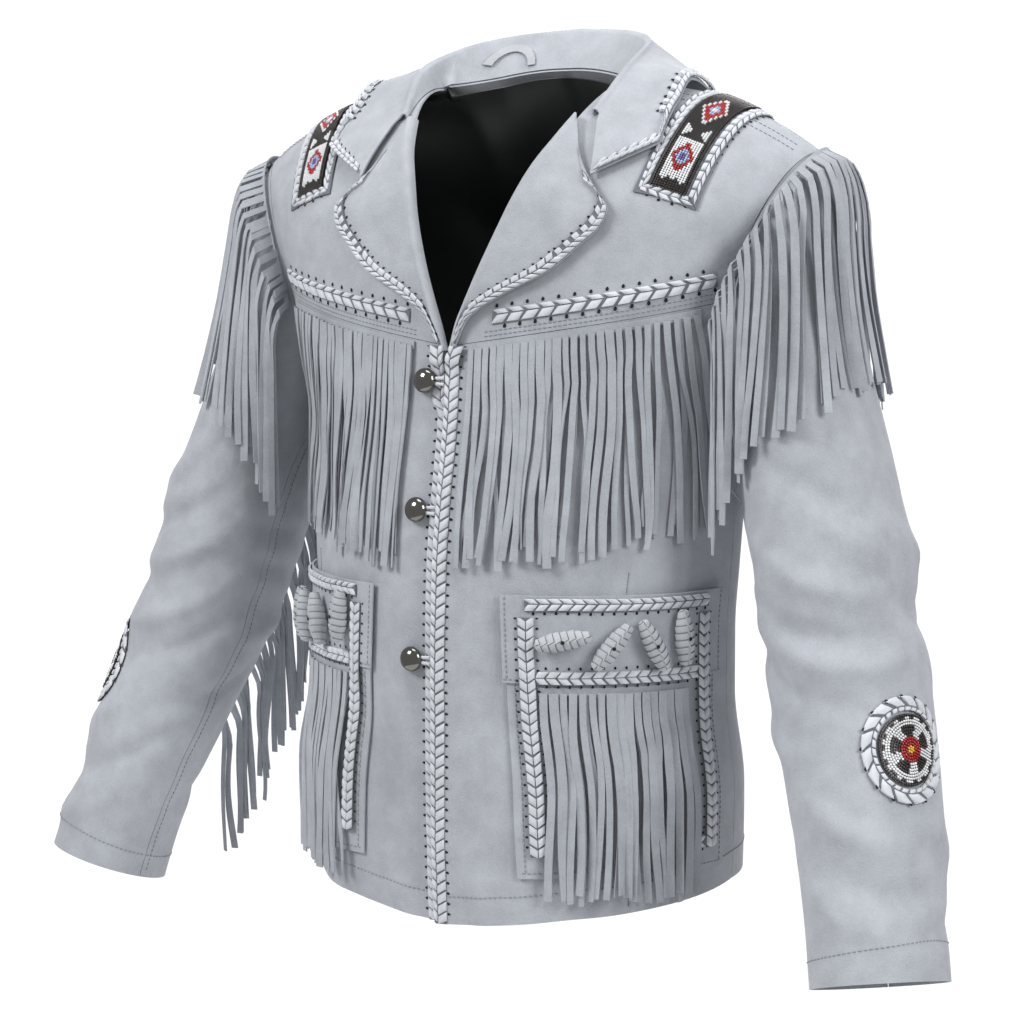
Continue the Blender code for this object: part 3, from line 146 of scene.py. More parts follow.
# Its creases: height, depth and reach
CREASES = (
    (-0.365, 0.0022, 0.011),
    (-0.395, 0.0028, 0.010),
    (-0.428, 0.0020, 0.012),
    (-0.560, 0.0014, 0.014),
)

# Collar: the roll and the outer edge from the gorge (0) to the middle of the back (1)
COLLAR_COLUMNS = ("along", "x", "y", "z")
ROLL = (
    (0.00, 0.0865, -0.0480, -0.0165),
    (0.25, 0.0950, -0.0080, 0.0210),
    (0.50, 0.0870, 0.0400, 0.0400),
    (0.75, 0.0520, 0.0750, 0.0520),
    (1.00, 0.0000, 0.0880, 0.0565),
)
COLLAR_EDGE = (
    (0.00, 0.1490, -0.0520, -0.0430),
    (0.22, 0.1470, 0.0000, 0.0075),
    (0.45, 0.1340, 0.0640, -0.0050),
    (0.70, 0.0870, 0.1030, -0.0200),
    (1.00, 0.0000, 0.1170, -0.0290),
)
NOTCH = (0.0975, -0.0690)
COLLAR_SHARES = tuple(np.linspace(0.0, 1.0, 21))
NOTCH_SHARE = 0.45
COLLAR_CLEAR = 0.0074
NECK_SHOULDER = 0.30
COLLAR_STATIONS = 61
FOLD = 0.0034

# Lapel: the outer edge on the front, from the bottom of the opening (0) to the notch (1)
LAPEL_COLUMNS = ("along", "across", "height")
LAPEL_EDGE = (
    (0.00, 0.004, -0.206),
    (0.12, 0.018, -0.176),
    (0.28, 0.045, -0.158),
    (0.48, 0.080, -0.140),
    (0.64, 0.104, -0.119),
    (0.78, 0.117, -0.106),
    (0.88, 0.121, -0.094),
    (0.95, 0.112, -0.083),
    (1.00, 0.099, -0.0745),
)
LAPEL_BOTTOM_Z = -0.200
FOOT_Z, FOOT_FADE = -0.204, 0.028
LAPEL_TURN = 0.0041
LAPEL_ROWS = 56
LAPEL_SHARES = (0.07, 0.15, 0.24, 0.33, 0.42, 0.51, 0.60, 0.69, 0.78, 0.86, 0.93, 1.0)
LAPEL_FOOT_LIFT, LAPEL_EDGE_LIFT, LAPEL_ROLL_LIFT = 0.0031, 0.0014, 0.0030

# Lacing bands
EDGE_LACE_W = 0.0150
LACE_PROUD = 0.0012
LACE_UNDER = 0.0004
LACE_BESIDE = 0.0022
LACE_FOOT_LOW, LACE_FOOT_HIGH = -0.243, -0.2165
LACE_RISE = 0.0031
LAPEL_LACE_W = 0.0125
STRIP_LACE_W = 0.0125
STRIP_IN, STRIP_OUT, STRIP_RISE = 0.037, 0.195, 0.0110

# Pockets, by angle from the middle of the front and by height
POCKET_IN, POCKET_OUT = 18.0, 82.0
POCKET_TOP, POCKET_BOTTOM = -0.382, -0.600
FLAP_BOTTOM = -0.449
POCKET_CLEAR = 0.0013
POCKET_TAPER = 3.6
POCKET_SWING = 0.0050

# Fringe
STRAND_T = 0.0012
STRIP_H = 0.006
CHEST_IN_LEFT, CHEST_IN_RIGHT, CHEST_OUT = 0.019, 0.031, 0.184
CHEST_STRANDS = 26
CHEST_LENGTH, ARMHOLE_LENGTH, POCKET_LENGTH, SLEEVE_LENGTH = 0.166, 0.178, 0.160, 0.130
SLEEVE_FRINGE_TOP, SLEEVE_FRINGE_END = -0.285, -0.532

# Buttons, toggles and beadwork
BUTTON_HEIGHTS = (-0.2235, -0.322, -0.437)
BUTTON_X, BUTTON_R, BUTTON_H = -0.0185, 0.0098, 0.0092
BUTTON_RIM, BUTTON_LIFT, BUTTON_FOOT_R = 0.0028, 0.0018, 0.0055
LOOP_X, LOOP_W, LOOP_LIFT = (-0.0102, -0.0018), 0.0084, 0.0041
TOGGLE_L, TOGGLE_R = 0.044, 0.0078
TOGGLE_SHAPE = ((0.0, -1.0), (0.60, -0.92), (1.0, -0.35), (0.92, 0.40), (0.52, 0.94), (0.0, 1.0))
TOGGLE_CLEAR = 0.0004
ROSETTE_PHI, ROSETTE_Z = 28.0, -0.479
ROSETTE_R, ROSETTE_RING_IN, ROSETTE_RING_OUT = 0.0245, 0.0262, 0.0385
ROSETTE_CLEAR, ROSETTE_ARM_R = 0.0016, 0.0615
BEAD_STRIP_W, BEAD_FRAME_W = 0.027, 0.0120
BEAD_END_Z = -0.095
BEAD_X, BEAD_LEAN, BEAD_LEAN_TURN = 0.181, 0.020, 75.0
BEAD_TOP_Z = -0.012
# Toggles: angle, rise and lean of each
LEFT_TOGGLES = ((34.0, 0.002, 80.0), (46.0, -0.003, 40.0), (57.0, -0.003, -27.0), (66.0, 0.001, -4.0))
RIGHT_TOGGLES = ((29.0, 0.006, -6.0), (41.0, -0.001, 18.0), (53.0, -0.004, 12.0), (65.0, -0.006, -4.0))

# The side that is being made: 1 is the wearer's left, -1 the right
hand = {"now": 1}

# Folds: place, lean in degrees, half length, half width and rise of each soft trough or ridge. On a sleeve
# the place is an angle round it.
FOLD_RISE, FOLD_BOW = 1.9, 0.18
HEM_WAVE, HEM_WAVE_TOP, HEM_WAVE_FADE = 0.0016, -0.42, 0.2
SLEEVE_FOLD_TOP, SLEEVE_FOLD_FADE = -0.12, 0.08
METRES_PER_DEGREE = 0.00105
FRONT_FOLDS = (
    (0.060, -0.300, 12, 0.070, 0.014, -0.0016),
    (0.105, -0.345, -18, 0.060, 0.013, 0.0018),
    (0.150, -0.330, 30, 0.080, 0.016, -0.0024),
    (0.030, -0.400, 8, 0.060, 0.010, 0.0010),
    (0.070, -0.560, -10, 0.080, 0.018, 0.0020),
    (0.115, -0.590, 6, 0.090, 0.020, -0.0026),
    (0.152, -0.565, 12, 0.075, 0.015, 0.0024),
    (0.172, -0.480, 40, 0.050, 0.010, -0.0018),
    (0.040, -0.620, -20, 0.045, 0.012, 0.0016),
    (0.120, -0.215, 55, 0.060, 0.012, -0.0014),
    (0.165, -0.150, 62, 0.060, 0.011, 0.0016),
    (-0.075, -0.330, 20, 0.060, 0.015, 0.0020),
    (-0.120, -0.310, -26, 0.075, 0.013, -0.0022),
    (-0.052, -0.520, -14, 0.085, 0.013, -0.0018),
    (-0.100, -0.600, 10, 0.070, 0.019, 0.0024),
    (-0.145, -0.570, -8, 0.085, 0.016, -0.0024),
    (-0.165, -0.420, -38, 0.050, 0.012, 0.0018),
    (-0.140, -0.180, -58, 0.060, 0.012, -0.0016),
)
BACK_FOLDS = (
    (0.020, -0.330, 4, 0.130, 0.017, 0.0026),
    (-0.048, -0.400, -9, 0.110, 0.015, -0.0028),
    (0.085, -0.430, 14, 0.090, 0.019, -0.0030),
    (0.125, -0.540, 8, 0.095, 0.016, 0.0028),
    (-0.105, -0.530, -12, 0.100, 0.018, 0.0030),
    (-0.150, -0.570, 6, 0.070, 0.014, -0.0026),
    (0.040, -0.560, -5, 0.085, 0.020, -0.0024),
    (-0.012, -0.590, 7, 0.060, 0.013, 0.0022),
    (0.130, -0.270, 48, 0.075, 0.014, 0.0028),
    (0.155, -0.330, 62, 0.055, 0.011, -0.0024),
    (-0.140, -0.260, -44, 0.085, 0.013, -0.0028),
    (-0.110, -0.320, -60, 0.070, 0.012, 0.0022),
    (0.070, -0.160, 24, 0.085, 0.016, -0.0020),
    (-0.080, -0.130, -30, 0.070, 0.018, 0.0020),
    (0.000, -0.060, 90, 0.070, 0.012, -0.0012),
    (0.150, -0.450, -20, 0.060, 0.012, -0.0018),
)
LEFT_SLEEVE_FOLDS = (
    (60, -0.300, 66, 0.055, 0.011, -0.0026),
    (38, -0.335, 58, 0.045, 0.010, 0.0022),
    (80, -0.362, 72, 0.060, 0.010, 0.0026),
    (92, -0.398, 78, 0.055, 0.010, -0.0030),
    (70, -0.420, 84, 0.060, 0.009, 0.0024),
    (110, -0.440, 70, 0.050, 0.009, -0.0024),
    (-8, -0.385, 80, 0.050, 0.011, -0.0026),
    (-20, -0.345, 68, 0.050, 0.012, 0.0024),
    (-48, -0.410, 76, 0.055, 0.010, -0.0028),
    (-60, -0.455, 62, 0.045, 0.011, 0.0022),
    (30, -0.540, 60, 0.050, 0.012, -0.0018),
    (75, -0.535, 74, 0.050, 0.011, 0.0022),
    (55, -0.575, 80, 0.055, 0.010, -0.0024),
    (95, -0.590, 70, 0.045, 0.010, 0.0020),
    (10, -0.605, 82, 0.050, 0.010, -0.0020),
    (-30, -0.560, 66, 0.050, 0.012, 0.0022),
    (150, -0.480, 74, 0.045, 0.010, 0.0020),
    (200, -0.420, 82, 0.050, 0.010, -0.0026),
    (215, -0.560, 76, 0.050, 0.011, 0.0022),
    (40, -0.205, 30, 0.060, 0.013, 0.0016),
    (-40, -0.230, 34, 0.060, 0.014, -0.0020),
)
RIGHT_SLEEVE_FOLDS = (
    (48, -0.315, 62, 0.055, 0.011, 0.0024),
    (72, -0.350, 74, 0.050, 0.010, -0.0028),
    (98, -0.378, 68, 0.050, 0.011, 0.0024),
    (60, -0.402, 82, 0.060, 0.010, -0.0022),
    (85, -0.432, 76, 0.055, 0.010, 0.0028),
    (118, -0.455, 66, 0.045, 0.010, -0.0022),
    (5, -0.360, 70, 0.055, 0.011, 0.0024),
    (-25, -0.400, 82, 0.055, 0.011, -0.0028),
    (-55, -0.375, 66, 0.050, 0.012, 0.0022),
    (-70, -0.430, 74, 0.050, 0.011, -0.0024),
    (45, -0.525, 68, 0.050, 0.012, 0.0020),
    (80, -0.560, 76, 0.055, 0.010, -0.0024),
    (60, -0.600, 84, 0.050, 0.010, 0.0022),
    (15, -0.585, 70, 0.050, 0.011, -0.0020),
    (-35, -0.590, 78, 0.050, 0.012, 0.0020),
    (160, -0.500, 70, 0.045, 0.010, -0.0020),
    (205, -0.450, 78, 0.050, 0.010, 0.0024),
    (220, -0.585, 72, 0.050, 0.011, -0.0022),
    (35, -0.220, 36, 0.060, 0.013, -0.0018),
    (-45, -0.210, 28, 0.060, 0.014, 0.0018),
)


def fold_sum(across, up, folds):
    """The rise of the cloth from its troughs and ridges, at places across and up it."""
    total = 0.0
    for middle, height, lean, long, wide, rise in folds:
        turn = math.radians(lean)
        dx, dz = across - middle, up - height
        along = dx * math.sin(turn) + dz * math.cos(turn)
        beside = dx * math.cos(turn) - dz * math.sin(turn) + FOLD_BOW * along**2 / long
        total = total + FOLD_RISE * rise * np.exp(-((along / long) ** 2) - (beside / wide) ** 2)
    return total


def trunk_fold(x, z, side):
    """Ridges and troughs of the fronts or the back, with a slow wave towards the hem."""
    x = x * hand["now"]
    wave = HEM_WAVE * np.sin(34 * x + 9 * z + side) * smooth((HEM_WAVE_TOP - z) / HEM_WAVE_FADE)
    return wave + fold_sum(x, z, FRONT_FOLDS if side < 0 else BACK_FOLDS)


def sleeve_fold(phi, z):
    """Ridges and troughs of the sleeve now being made, by distance round the arm."""
    folds = LEFT_SLEEVE_FOLDS if hand["now"] > 0 else RIGHT_SLEEVE_FOLDS
    around = ((np.asarray(phi, float) + 110) % 360 - 110) * METRES_PER_DEGREE
    rows = tuple((middle * METRES_PER_DEGREE, *rest) for middle, *rest in folds)
    return fold_sum(around, z, rows) * smooth((SLEEVE_FOLD_TOP - z) / SLEEVE_FOLD_FADE)


# The form

ARM_ANGLES = np.arange(180, -1, -180 / ARM_STEPS)
YOKE_ROW = ARM_STEPS // 2
SIDE_STEPS = 48
FRONT_STEPS = 36
FRONT_SHARES = np.interp(np.linspace(0, 6, 43), np.arange(7), (0.0, 0.045, 0.20, 0.40, 0.60, 0.80, 1.0))
LINING_START = 14
NECK_STEPS = 24


def read(columns, rows, name, at):
    """Reads one column of a table smoothly at any value of the first column."""
    data = np.array(rows)
    x, y = data[:, 0], data[:, columns.index(name)]
    secant = np.diff(y) / np.diff(x)
    same = secant[:-1] * secant[1:] > 0
    total = np.where(same, secant[:-1] + secant[1:], 1.0)
    middle = np.where(same, 2 * secant[:-1] * secant[1:] / total, 0.0)
    slope = np.concatenate([secant[:1], middle, secant[-1:]])
    at = np.clip(np.asarray(at, float), x[0], x[-1])
    i = np.clip(np.searchsorted(x, at) - 1, 0, len(x) - 2)
    span = x[i + 1] - x[i]
    t = (at - x[i]) / span
    start = y[i] * (1 + 2 * t) * (1 - t) ** 2 + slope[i] * span * t * (1 - t) ** 2
    end = y[i + 1] * t * t * (3 - 2 * t) - slope[i + 1] * span * t * t * (1 - t)
    return start + end


def smooth(t):
    """A soft step from 0 to 1."""
    t = np.clip(t, 0.0, 1.0)
    return t * t * (3 - 2 * t)


def unit(vectors):
    length = np.linalg.norm(vectors, axis=-1, keepdims=True)
    return vectors / np.maximum(length, 1e-9)


def point(x, y, z):
    return np.stack(np.broadcast_arrays(x, y, z), axis=-1).astype(float)


def trunk(name, z):
    return read(TRUNK_COLUMNS, TRUNK, name, z)


def ridge(x):
    return read(RIDGE_COLUMNS, RIDGE, "height", np.abs(x))


def trunk_at(x, z, side):
    """The point of the trunk's outer face at x and z, in front (side -1) or behind (side 1)."""
    share = np.clip(np.abs(x) / trunk("half_width", z), 0.0, 1.0)
    depth = trunk("front" if side < 0 else "back", z) * np.sqrt(1 - share**2)
    drop = np.clip((ridge(x) - z) / RIDGE_REACH, 0.0, 1.0)
    rounded = np.sqrt(drop * (2 - drop))
    fold = trunk_fold(x, z, side) * smooth((1 - share) / 0.12) * smooth(drop / 0.25)
    return point(x, RIDGE_Y + (side * depth - RIDGE_Y) * rounded + side * fold, z)


def trunk_round(angle, z, side=-1):
    """The trunk's outer face at an angle in degrees from the middle of the front or the back."""
    return trunk_at(trunk("half_width", z) * np.sin(np.radians(angle)), z, side)


def trunk_facing(grid, side):
    """Directions straight out of the trunk at points of its outer face. At the shoulder and side seams they
    lie in the seam's own plane, so the two pieces that meet there stay apart through their thickness."""
    x, z = grid[..., 0], grid[..., 2]
    step = 0.0002
    slope_x = (trunk_at(x + step, z, side) - trunk_at(x - step, z, side))[..., 1] / (2 * step)
    slope_z = (trunk_at(x, z + step, side) - trunk_at(x, z - step, side))[..., 1] / (2 * step)
    inside = smooth((ridge(x) - z) / 0.001) * smooth((trunk("half_width", z) - np.abs(x)) / 0.0005)
    return unit(point(-slope_x * side, side * inside, -slope_z * side))


def armhole_x(z):
    """How far out the armhole lies at a height."""
    rise = np.clip((z - ARMPIT_Z) / (float(ridge(SHOULDER_X)) - ARMPIT_Z), 0.0, 1.0)
    return ARMPIT_X + (SHOULDER_X - ARMPIT_X) * rise**ARMHOLE_FLARE


def armhole_z(alpha):
    """The armhole's height at alpha degrees: 0 is its top, 180 the armpit."""
    turn = np.radians(alpha)
    rise = (1 + np.cos(turn)) / 2 - ARMHOLE_DROP * np.sin(turn) ** 2
    return ARMPIT_Z + (float(ridge(SHOULDER_X)) - ARMPIT_Z) * rise


def armhole(alpha):
    """A point of the armhole: 90 is its front and 270 its back."""
    alpha = np.asarray(alpha, float) % 360
    z = armhole_z(alpha)
    x = armhole_x(z)
    front, back = trunk_at(x, z, -1), trunk_at(x, z, 1)
    return np.where((alpha <= 180)[..., None], front, back)


def neckline_x(z, lap):
    """How far out a front's edge lies at a height."""
    below = smooth((FOOT_Z - z) / FOOT_FADE)
    return read(NECKLINE_COLUMNS, NECKLINE, "across", z) - lap * below


def back_neck_z(x):
    """The height of the back's neck edge at x."""
    return float(ridge(NECK_HALF)) + (NECK_BACK_Z - float(ridge(NECK_HALF))) * (1 - (x / NECK_HALF) ** 2)


def overlap_shift(x, z, lap):
    """How far a front edge lies above or below the form where one front laps the other."""
    near = smooth((0.030 - x) / 0.020) * smooth((FOOT_Z - z) / FOOT_FADE)
    return near * (-OVERLAP_SINK if lap > 0 else OVERLAP_LIFT)


def normals(grid, inside):
    """Unit normals of a grid of points, all on the side away from the point inside."""
    found = unit(np.cross(np.gradient(grid, axis=0), np.gradient(grid, axis=1)))
    facing = np.sum(found * (grid - np.asarray(inside)))
    return found if facing > 0 else -found


def trimmed(grid, top=0.0, bottom=0.0, start=0.0, end=0.0):
    """Draws the edges of a grid in: its first and last rows, and its first and last columns."""
    grid = grid.copy()
    grid[0] += unit(grid[1] - grid[0]) * bottom
    grid[-1] += unit(grid[-2] - grid[-1]) * top
    grid[:, 0] += unit(grid[:, 1] - grid[:, 0]) * start
    grid[:, -1] += unit(grid[:, -2] - grid[:, -1]) * end
    return grid


def mirrored(grid):
    return grid * np.array([-1.0, 1.0, 1.0])


def front_heights():
    """Heights of the rows of a front at its side and at its opening."""
    outer = np.concatenate([side_heights(HEM_SIDE), armhole_z(ARM_ANGLES[1 : YOKE_ROW + 1])])
    share = (outer - outer[0]) / (outer[-1] - outer[0])
    return outer, HEM_FRONT + (YOKE_CENTRE_Z - HEM_FRONT) * share


def raised(row, rise, side):
    """A row of points of the trunk's outer face, moved up it."""
    x, z = row[..., 0], row[..., 2]
    return trunk_at(x * trunk("half_width", z + rise) / trunk("half_width", z), z + rise, side)


def sleeve_at(phi, z):
    """A sleeve's outer face at phi degrees: 0 is its outer side, 90 its front."""
    turn = np.radians(phi)
    across, forward, wide, deep = (read(SLEEVE_COLUMNS, SLEEVE, name, z) for name in SLEEVE_COLUMNS[1:])
    inner = np.clip(np.cos(np.radians(phi - 175)), 0, 1) ** 2
    for height, depth, reach in CREASES:
        fold = depth * np.exp(-(((z - height - 0.012 * np.sin(turn)) / reach) ** 2)) * inner
        wide, deep = wide - fold, deep - fold
    lift = sleeve_fold(phi, z)
    return point(across + (wide + lift) * np.cos(turn), forward - (deep + lift) * np.sin(turn), z)


def sleeve_point(phi, share):
    """A sleeve's outer face, from its armhole (0) to its cuff (1)."""
    phi, share = np.broadcast_arrays(np.asarray(phi, float), np.asarray(share, float))
    seam = armhole(phi)
    top = seam[..., 2]
    turn = np.radians(phi)
    cuff = CUFF_Z + 0.052 * (CUFF_TILT_X * np.cos(turn) - CUFF_TILT_Y * np.sin(turn))
    z = top + (cuff - top) * share**1.35
    fade = np.exp(-(((top - z) / CAP_FADE) ** 2))
    return sleeve_at(phi, z) + (seam - sleeve_at(phi, top)) * fade[..., None]


def edge_point(z):
    """The fronts' own edge at a height, read from their rows."""
    edge = np.concatenate([lower_front(0.0)[:-1, 0], front_yoke(0.0)[:, 0]])
    return point(*(np.interp(z, edge[:, 2], edge[:, axis]) for axis in range(3)))


def neck_point(along):
    """The trunk's neck edge from the gorge (0) over the shoulder seam to the middle of the back (1)."""
    along = np.asarray(along, float)
    behind = np.clip((along - NECK_SHOULDER) / (1 - NECK_SHOULDER), 0, 1)
    front_z = GORGE_Z + (float(ridge(NECK_HALF)) - GORGE_Z) * np.clip(along / NECK_SHOULDER, 0, 1)
    back_x = NECK_HALF * np.cos(np.radians(90 * behind))
    front = trunk_at(NECK_HALF, front_z, -1)
    back = trunk_at(back_x, back_neck_z(back_x), 1)
    return np.where((along < NECK_SHOULDER)[..., None], front, back)


def keep_clear(grid, gap):
    """Moves points that come within gap of the trunk's outer face out to it."""
    x, y, z = grid[..., 0], grid[..., 1], grid[..., 2]
    front = trunk_at(x, z, -1)[..., 1] - gap
    back = trunk_at(x, z, 1)[..., 1] + gap
    low = z < ridge(x) + gap
    y = np.where(low & (y < RIDGE_Y), np.minimum(y, front), y)
    y = np.where(low & (y >= RIDGE_Y), np.maximum(y, back), y)
    return point(x, y, z)


def collar_half():
    """The collar from the gorge to the middle of the back. Columns run from the neck seam, up the stand,
    over the roll and down the fall to the outer edge."""
    along = np.linspace(0.0, 1.0, COLLAR_STATIONS)
    roll, edge = (
        np.stack([read(COLLAR_COLUMNS, rows, axis, along) for axis in "xyz"], axis=-1)
        for rows in (ROLL, COLLAR_EDGE)
    )
    seam = neck_point(along) + np.array([0, 0, 4 * SEAM])
    out = unit((edge - seam) * np.array([1, 1, 0]))
    up = np.array([0, 0, 1.0])
    height = (roll - seam)[:, 2:3]
    columns = [seam]
    columns += [seam + (roll - out * FOLD - up * FOLD - seam) * share for share in (0.45, 1.0)]
    columns += [roll - out * 0.4 * FOLD - up * 0.5 * FOLD * (height > 0.01), roll + out * FOLD * 0.5]
    start = roll + out * FOLD * 1.3 - up * FOLD * 0.8
    for share in COLLAR_SHARES:
        bulge = out * 0.006 * math.sin(math.pi * share) + up * 0.003 * math.sin(math.pi * share)
        columns.append(start + (edge - start) * share + bulge)
    grid = np.stack(columns, axis=1)
    notch = trunk_at(NOTCH[0], NOTCH[1], -1)
    fall = np.array(COLLAR_SHARES)
    pull = np.where(fall <= NOTCH_SHARE, fall / NOTCH_SHARE, (1 - fall) / (1 - NOTCH_SHARE))
    shift = notch - (start[0] + (edge[0] - start[0]) * NOTCH_SHARE)
    fade = np.clip(1 - along / 0.22, 0, 1) ** 2
    grid[:, 5:] += fade[:, None, None] * pull[None, :, None] * shift
    grid[:, 6:] = keep_clear(grid[:, 6:], COLLAR_CLEAR)
    return grid


def front_edge(along):
    """The fronts' edge from the foot of the lapel (0) to its top (1)."""
    return edge_point(LAPEL_BOTTOM_Z + (GORGE_Z - 2 * SUEDE - LAPEL_BOTTOM_Z) * np.asarray(along, float))


def lapel_surface(along, share):
    """x and z on the front of a lapel's point, from its roll (share 0) to its outer edge (1)."""
    roll_x, roll_z = (front_edge(along)[..., axis] for axis in (0, 2))
    edge_x = read(LAPEL_COLUMNS, LAPEL_EDGE, "across", along)
    edge_z = read(LAPEL_COLUMNS, LAPEL_EDGE, "height", along)
    return roll_x + (edge_x - roll_x) * share, roll_z + (edge_z - roll_z) * share


def lapel_lift(along, share):
    """Height of a lapel's face over the front: high where it rolls, low at its edge and its foot."""
    foot = smooth(along / 0.15)
    return LAPEL_FOOT_LIFT + (LAPEL_EDGE_LIFT + LAPEL_ROLL_LIFT * (1 - share) ** 2) * foot


def lapel_grid():
    """A lapel's outer face: columns run from under its roll to its outer edge."""
    along = np.linspace(0.0, 1.0, LAPEL_ROWS)
    edge_x, edge_z = lapel_surface(along, 1.0)
    roll = front_edge(along)
    inward = unit(roll - trunk_at(edge_x, edge_z, -1)) * smooth(along / 0.3)[:, None]
    inward = unit(inward + np.array([-0.6, 0, 0]))
    out = trunk_facing(roll, -1)
    lift = lapel_lift(along, 0.0)[:, None]
    turn = LAPEL_TURN * (0.7 + 0.3 * smooth(along / 0.15))[:, None]
    columns = [
        roll + inward * turn * 0.85 - out * SUEDE * 0.5,
        roll + inward * turn + out * lift * 0.35,
        roll + inward * turn * 0.6 + out * lift * 0.9,
        roll + out * (lift + REST),
    ]
    for share in LAPEL_SHARES:
        x, z = lapel_surface(along, share)
        base = trunk_at(x, z, -1)
        columns.append(base + trunk_facing(base, -1) * lapel_lift(along, share)[:, None])
    return np.stack(columns, axis=1)


def yoke_seam_z(x):
    """The yoke seam's height at x, read from the yoke's own bottom row."""
    row = front_yoke(0.0)[0]
    return np.interp(np.abs(x), row[:, 0], row[:, 2])


def pocket_point(angle, z):
    """A point of the front where a pocket lies. The pocket narrows downwards on the side of the opening."""
    drop = (POCKET_TOP - z) / (POCKET_TOP - POCKET_BOTTOM)
    angle = angle + POCKET_TAPER * drop * (POCKET_OUT - angle) / (POCKET_OUT - POCKET_IN)
    return trunk_round(angle, z + 0 * angle)


def wander(count, size, pace, phase):
    """A gentle unevenness from strand to strand that is the same each time."""
    k = np.arange(count)
    return size * (np.sin(pace * k + phase) + 0.6 * np.sin(2.7 * pace * k + 1.3 + phase)) / 1.6


def middles(start, end, count):
    """The middle of each strand along a strip."""
    return start + (end - start) * (np.arange(count) + 0.5) / count


def stations(start, end, count, share):
    """Two places for each strand along a strip, with a gap between strands."""
    centre = middles(start, end, count)
    half = (end - start) / count * share / 2
    return np.stack([centre - half, centre + half], axis=-1).reshape(-1)


def over_sleeve(where, gap):
    """Moves points out of the sleeve, level by level, to gap beyond its outer face."""
    z = where[..., 2]
    across, forward, wide, deep = (read(SLEEVE_COLUMNS, SLEEVE, name, z) for name in SLEEVE_COLUMNS[1:])
    wide, deep = wide + gap, deep + gap
    dx, dy = (where[..., 0] - across) / wide, (where[..., 1] - forward) / deep
    radius = np.maximum(np.hypot(dx, dy), 1e-6)
    push = np.where(radius < 1, 1 / radius, 1.0)
    return point(across + dx * wide * push, forward + dy * deep * push, z)


def over_shoulder(x, turn):
    """A point on the shoulder at x: turn is 0 on the seam, -90 down the front and 90 down the back."""
    bend = np.radians(turn)
    z = ridge(x) - RIDGE_REACH * (1 - np.cos(bend))
    front, back = trunk_at(x, z, -1), trunk_at(x, z, 1)
    return np.where((np.asarray(turn) < 0)[..., None], front, back)


def bead_turns(count):
    reach = math.degrees(math.acos(1 - (BEAD_TOP_Z - BEAD_END_Z) / RIDGE_REACH))
    return np.linspace(-reach, reach, count)


def bead_middle(turn):
    """Where the middle of the bead strip lies across the shoulder."""
    return BEAD_X - BEAD_LEAN * (np.abs(turn) / BEAD_LEAN_TURN) ** 1.2


def rosette_at(radius, turn, lift):
    """A point of a rosette on the left sleeve, by distance and direction from its middle."""
    bend = np.radians(turn)
    side, up = radius * np.cos(bend), radius * np.sin(bend)
    phi = ROSETTE_PHI - np.degrees(side / ROSETTE_ARM_R)
    base = sleeve_at(phi, ROSETTE_Z + up)
    turn_phi = np.radians(phi)
    out = unit(point(np.cos(turn_phi), -np.sin(turn_phi), 0.18))
    return base + out * lift


def front_rows(inner_z, outer_z, lap, rise):
    """Points of a front between its opening and its side, row by row. rise is 1 on the shoulder seam."""
    share = np.array(FRONT_SHARES)[None, :]
    inner_z, outer_z, rise = (np.asarray(v, float)[:, None] for v in (inner_z, outer_z, rise))
    inner_x = neckline_x(inner_z, lap)
    outer_x = np.where(outer_z > ARMPIT_Z + 1e-6, armhole_x(outer_z), trunk("half_width", outer_z))
    inner_angle = np.arcsin(inner_x / trunk("half_width", inner_z))
    outer_angle = np.arcsin(np.clip(outer_x / trunk("half_width", outer_z), 0, 1))
    z = inner_z + (outer_z - inner_z) * share
    x = trunk("half_width", z) * np.sin(inner_angle + (outer_angle - inner_angle) * share)
    straight = inner_x + (outer_x - inner_x) * share
    x = x + (straight - x) * rise**2
    z = z + (ridge(straight) - z) * rise**3
    grid = trunk_at(x, z, -1)
    return grid + normals(grid, (0.0, 0.0, -0.3)) * overlap_shift(x, z, lap)[..., None]


def lower_front(lap):
    """A front below its yoke, from its hem up."""
    outer, inner = front_heights()
    return front_rows(inner, outer, lap, np.zeros(len(outer)))


def front_yoke(lap):
    """A front yoke, from its seam to the shoulder."""
    outer = armhole_z(ARM_ANGLES[YOKE_ROW:])
    rise = np.linspace(0.0, 1.0, len(outer))
    inner = YOKE_CENTRE_Z + (float(ridge(NECK_HALF)) - YOKE_CENTRE_Z) * rise
    return front_rows(inner, outer, lap, rise)


def side_heights(hem):
    """Heights of the rows below the armpit, from a hem."""
    return np.linspace(hem, ARMPIT_Z, SIDE_STEPS + 1)


def collar_grid():
    half = collar_half()
    return np.concatenate([half, mirrored(half)[-2::-1]], axis=0)


